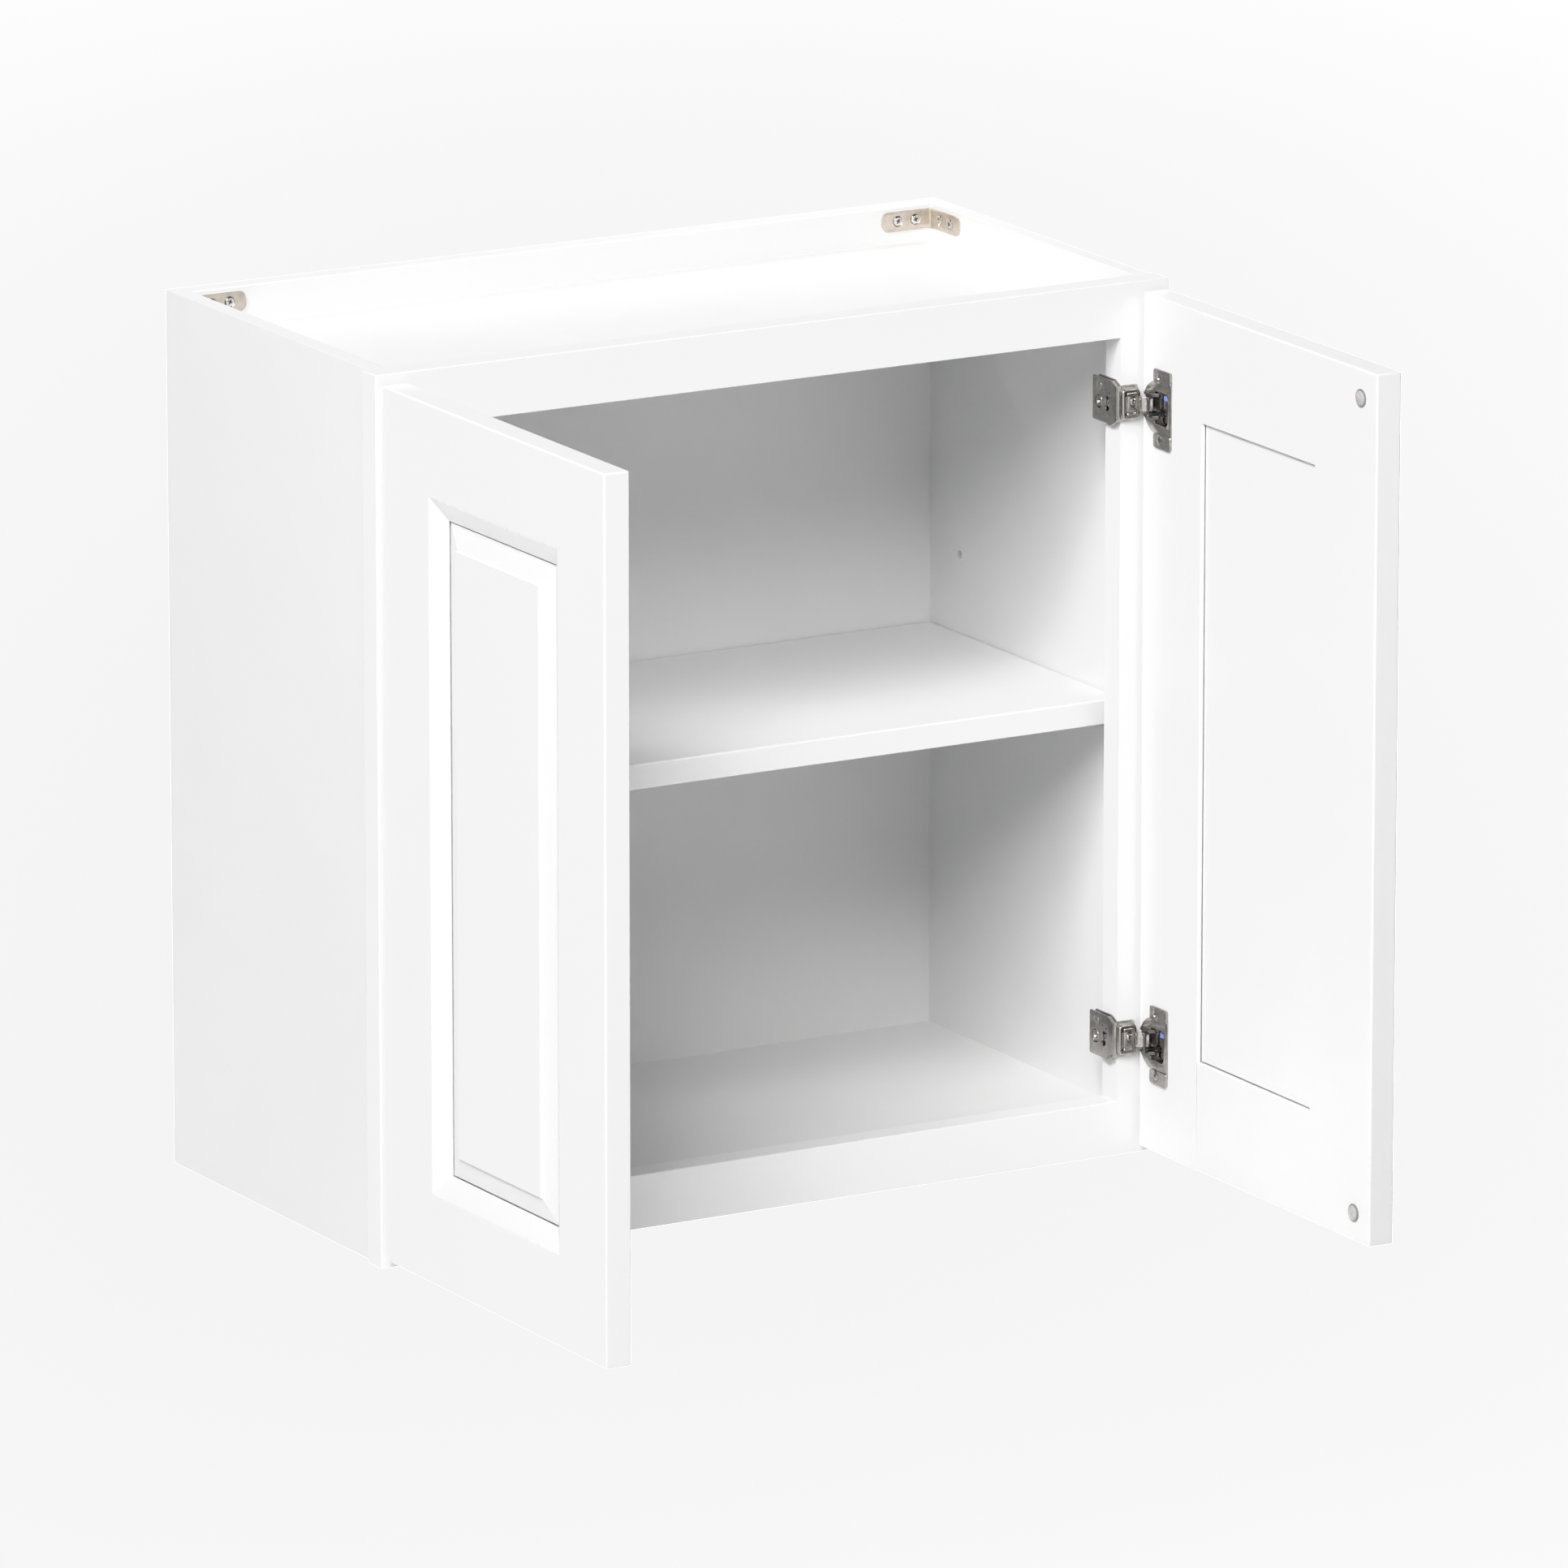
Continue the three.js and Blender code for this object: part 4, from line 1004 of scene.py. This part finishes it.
def wrap_outline(front_half, half, back, taper=7.5):
    """Outline of a wrap plate in (Y, Z): narrow at the front, full height behind its sloping corners."""
    front = WRAP_FRONT
    top = [(front, front_half), (front + taper, half)]
    far = arc(back - 1.5, half - 1.5, 1.5, 90, 0, 4) + arc(back - 1.5, -half + 1.5, 1.5, 0, -90, 4)
    return top + far + [(front + taper, -half), (front, -front_half)]


def wrap_plates():
    """The double plate round the frame's inner edge, with its webs, windows and a folded tab."""
    cam_y, cam_z = CAM_PLACE
    oval_y, oval_z = OVAL_PLACE
    near = slab_x(wrap_outline(WRAP_FRONT_HALF, WRAP_HALF, WRAP_BACK), WRAP_OUT, WRAP_OUT + 1.2, 0.3,
                  NICKEL)
    drill = lathe([(0, -3), (4.7, -3), (4.7, 0), (5.1, 0.5), (5.1, 1), (0, 1)], 36, NICKEL)
    oval = rounded_box(oval_y - 2.7, oval_y + 2.7, oval_z - 5.2, oval_z + 5.2, 2.6, 8)
    # The peg holes' walls take the dark steel: painted shade in the holes.
    peg_hole = cylinder(0.85, -3, 1, 20, DARK_STEEL_AND_HOLE_SHADE)
    cutters = [
        moved(drill, shift(WRAP_OUT, cam_y, cam_z) @ FACING_LEFT),
        slab_x(oval, WRAP_OUT - 3, WRAP_OUT + 3, 0, NICKEL),
    ]
    for y, z in ((24.2, 7.4), (19.2, 6.2), (19, 2.6)):
        cutters.append(copied(peg_hole, shift(WRAP_OUT, y, z) @ FACING_LEFT))
    near = carved(near, cutters)
    far = slab_x(wrap_outline(WRAP_FRONT_HALF + 1, WRAP_HALF + 0.5, WRAP_BACK - 2.4), FRAME_RIM - 1.1,
                 FRAME_RIM, 0.3, NICKEL)
    webs = []
    for up in (1, -1):
        start = (WRAP_FRONT + 0.3, up * (WRAP_FRONT_HALF - 0.1))
        end = (WRAP_FRONT + 7.5, up * (WRAP_HALF - 0.2))
        strip = [start, end, (end[0] + 0.5, end[1] - up), (start[0] + 0.5, start[1] - up)]
        webs.append(slab_x(strip, WRAP_OUT + 0.2, FRAME_RIM - 0.2, 0.2, NICKEL))
    tab_outline = [(WRAP_FRONT - 0.2, -11), (WRAP_FRONT + 1.4, -13.4), (WRAP_FRONT + 8.4, -16.4),
                   (WRAP_FRONT + 10.5, -15.2), (WRAP_FRONT + 3, -11)]
    tab = slab_x(tab_outline, WRAP_OUT - 0.5, WRAP_OUT + 1.4, 0.5, NICKEL, 3)
    back = slab_x(rounded_box(WRAP_BACK - 5.4, WRAP_BACK - 4.2, -12, 9, 0.4), WRAP_OUT + 0.6,
                  FRAME_RIM - 0.4, 0.2, NICKEL)
    dimple = lathe([(0, -0.5), (3.2, -0.5), (3.2, 0.1), (2.9, 0.35), (2.5, 0.1), (0, 0.1)], 32, NICKEL)
    dimple = moved(dimple, shift(WRAP_OUT, 32.4, 9.3) @ FACING_LEFT)
    return joined([near, far, *webs, tab, back, dimple])


def cam_screw():
    """The flat height-adjusting cam in the near plate's round window."""
    head = lathe([(0, -2.6), (3.9, -2.6), (4.1, -2.2), (4.1, -0.5), (3.8, -0.15), (0, -0.1)], 36, NICKEL)
    head = carved(head, cross_recess(5, 0, 1.6))
    y, z = CAM_PLACE
    return moved(head, shift(WRAP_OUT, y, z) @ FACING_LEFT @ Matrix.Rotation(0.5, 4, "Z"))


def frame_screw():
    """The wood screw behind the oval window."""
    y, z = OVAL_PLACE
    head = screw_head(3.1, 0.9, 1.2, ZINC)
    return moved(head, shift(FRAME_RIM - 2.1, y, z) @ FACING_LEFT @ Matrix.Rotation(0.9, 4, "Z"))


def cup_screw(up):
    away, high = CUP_SCREW
    head = screw_head(CUP_SCREW_R, 0.5, 0.9, NICKEL)
    place = shift(DOOR_FACE - TAB_T + 0.1, CUP_CENTRE - away, up * high)
    return moved(head, place @ FACING_LEFT @ Matrix.Rotation(0.6 * up, 4, "Z"))


def build_hinges():
    """Shows every hinge's parts.

    The tables give each part's drawing, the CAD piece that it stands for, if any, and its slot.
    """
    fixed = {
        "tray": (tray(), "bracket", "nickel"),
        "wrap": (wrap_plates(), None, "nickel"),
        "arm": (hinge_arm(), None, "nickel"),
        "rivet": (tray_rivet(), None, "nickel"),
        "cam_screw": (cam_screw(), None, "zinc"),
        "frame_screw": (frame_screw(), None, "zinc"),
        "pivot": (hinge_pin(), "pin", "zinc"),
    }
    moving = {
        "flange": (cup_flange(), "cup", "nickel"),
        "drum": (cup_drum(), None, "nickel"),
        "rails": (cup_rails(), None, "nickel"),
        "housing": (damper_housing(), "damper", "damper"),
        "switch": (soft_close_switch(), None, "damper"),
        "cup_screw_top": (cup_screw(1), None, "zinc"),
        "cup_screw_bottom": (cup_screw(-1), None, "zinc"),
    }
    linking = {"cheeks": (hinge_link(), "link", "nickel")}
    for side, sign in SIDES.items():
        for end in ENDS:
            hinge = f"{side}_{end}_hinge"
            low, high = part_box(f"{hinge}_pin")
            place = Matrix.Translation((low + high) / 2) @ mirror(sign)
            for body, parts in (("cabinet", fixed), (f"{side}_door", moving), (f"{hinge}_link", linking)):
                for part, (mesh, node, slot) in parts.items():
                    stands_for = None if node is None else f"{hinge}_{node}"
                    add_piece(f"{hinge}_{part}_part", copied(mesh, place), body, stands_for)


# ---------------------------------------------------------------- stage, lights and camera

FLOOR_DROP = 0.9
FLOOR_R = 30


def build_floor():
    shape = bmesh.new()
    bmesh.ops.create_circle(shape, cap_ends=True, segments=96, radius=FLOOR_R)
    finish = Finish("pale_floor", IOR=1.3)
    clouds = finish.noise(1.5, detail=2)
    speckle = finish.noise(0.004, detail=2)
    tone = finish.blend(clouds, grey(0.9), grey(0.93))
    rough = finish.ramp(speckle, 0.3, 0.7, 0.85, 0.95)
    material = finish.connect(Base_Color=tone, Roughness=rough)
    floor = shown("floor", mesh_of(shape, material))
    floor.location.z = cad_box[0][2] - FLOOR_DROP


def softbox(name, azimuth, elevation, distance, width, height, power, target=(0, -0.15, 0), spread=180):
    """A soft rectangular light aimed at target; azimuth 0 is straight in front, 90 to the right."""
    turn = math.radians(azimuth)
    tilt = math.radians(elevation)
    back = Vector((math.sin(turn) * math.cos(tilt), -math.cos(turn) * math.cos(tilt), math.sin(tilt)))
    data = bpy.data.lights.new(name, "AREA")
    data.shape = "RECTANGLE"
    data.size = width
    data.size_y = height
    data.energy = power
    data.spread = math.radians(spread)
    lamp = bpy.data.objects.new(name, data)
    lamp.location = Vector(target) + back * distance
    lamp.rotation_euler = back.to_track_quat("Z", "Y").to_euler()
    lamp.visible_camera = False
    bpy.context.scene.collection.objects.link(lamp)
    return lamp


def build_lights():
    world = bpy.data.worlds.new("studio")
    world.use_nodes = True
    background = world.node_tree.nodes["Background"]
    background.inputs["Color"].default_value = (1, 1, 1, 1)
    background.inputs["Strength"].default_value = 0.02
    bpy.context.scene.world = world
    far, size = 5, 1.2
    softbox("key_high", -41, 46, far, size, size, 98)
    softbox("key_low", -38, 34, far, size, size, 88)
    softbox("left", -64, 44, far, size, size, 118)
    softbox("front", -26, 34, far, size, size, 36)
    # A strip of light on the floor behind the cabinet, where the camera sees it.
    softbox("floor_wash", -30, 89, 3, 3, 9, 300, target=(2.6, 4.5, -1.2), spread=120)
    # White cards that only the metal and the paint's gloss reflect.
    for name, azimuth in (("left_card", -70), ("front_card", -15), ("right_card", 40)):
        card = softbox(name, azimuth, 0, 4, 4, 2.3, 36, target=(0, -0.15, 0.1))
        card.visible_diffuse = False


def build_camera():
    """The photograph's viewpoint: a long lens from the front left, a little above."""
    azimuth = math.radians(-29.9358)
    elevation = math.radians(14.1071)
    distance = 10.54794
    target = Vector((0.093704, -0.15, -0.055197))
    back = Vector((
        math.sin(azimuth) * math.cos(elevation), -math.cos(azimuth) * math.cos(elevation),
        math.sin(elevation),
    ))
    data = bpy.data.cameras.new("camera")
    data.sensor_fit = "HORIZONTAL"
    data.sensor_width = 36
    data.lens = 354.734
    data.clip_end = 100
    camera = bpy.data.objects.new("camera", data)
    camera.location = target + back * distance
    camera.rotation_euler = back.to_track_quat("Z", "Y").to_euler()
    bpy.context.scene.collection.objects.link(camera)
    bpy.context.scene.camera = camera


WHITE_LEVEL = 1.5  # the brightest light that the tone curve still takes in
# Pairs of a light and the value that it is shown as.
SHOULDER = ((0.4, 0.4), (0.7, 0.7), (0.87, 0.87), (0.93, 0.9), (1.02, 0.925), (1.12, 0.99))


def set_tone():
    """A plain view with a shoulder that keeps white paint a shade below the white floor."""
    view = bpy.context.scene.view_settings
    view.view_transform = "Standard"
    view.use_curve_mapping = True
    mapping = view.curve_mapping
    mapping.white_level = (WHITE_LEVEL, WHITE_LEVEL, WHITE_LEVEL)
    curve = mapping.curves[3]
    for light, shown_as in SHOULDER:
        curve.points.new(light / WHITE_LEVEL, shown_as)
    mapping.update()


build_carcass()
for door_side in SIDES:
    build_door(door_side)
build_corner_brackets()
build_shelf_pins()
build_bumpers()
build_hinges()
build_floor()
build_lights()
build_camera()
set_tone()
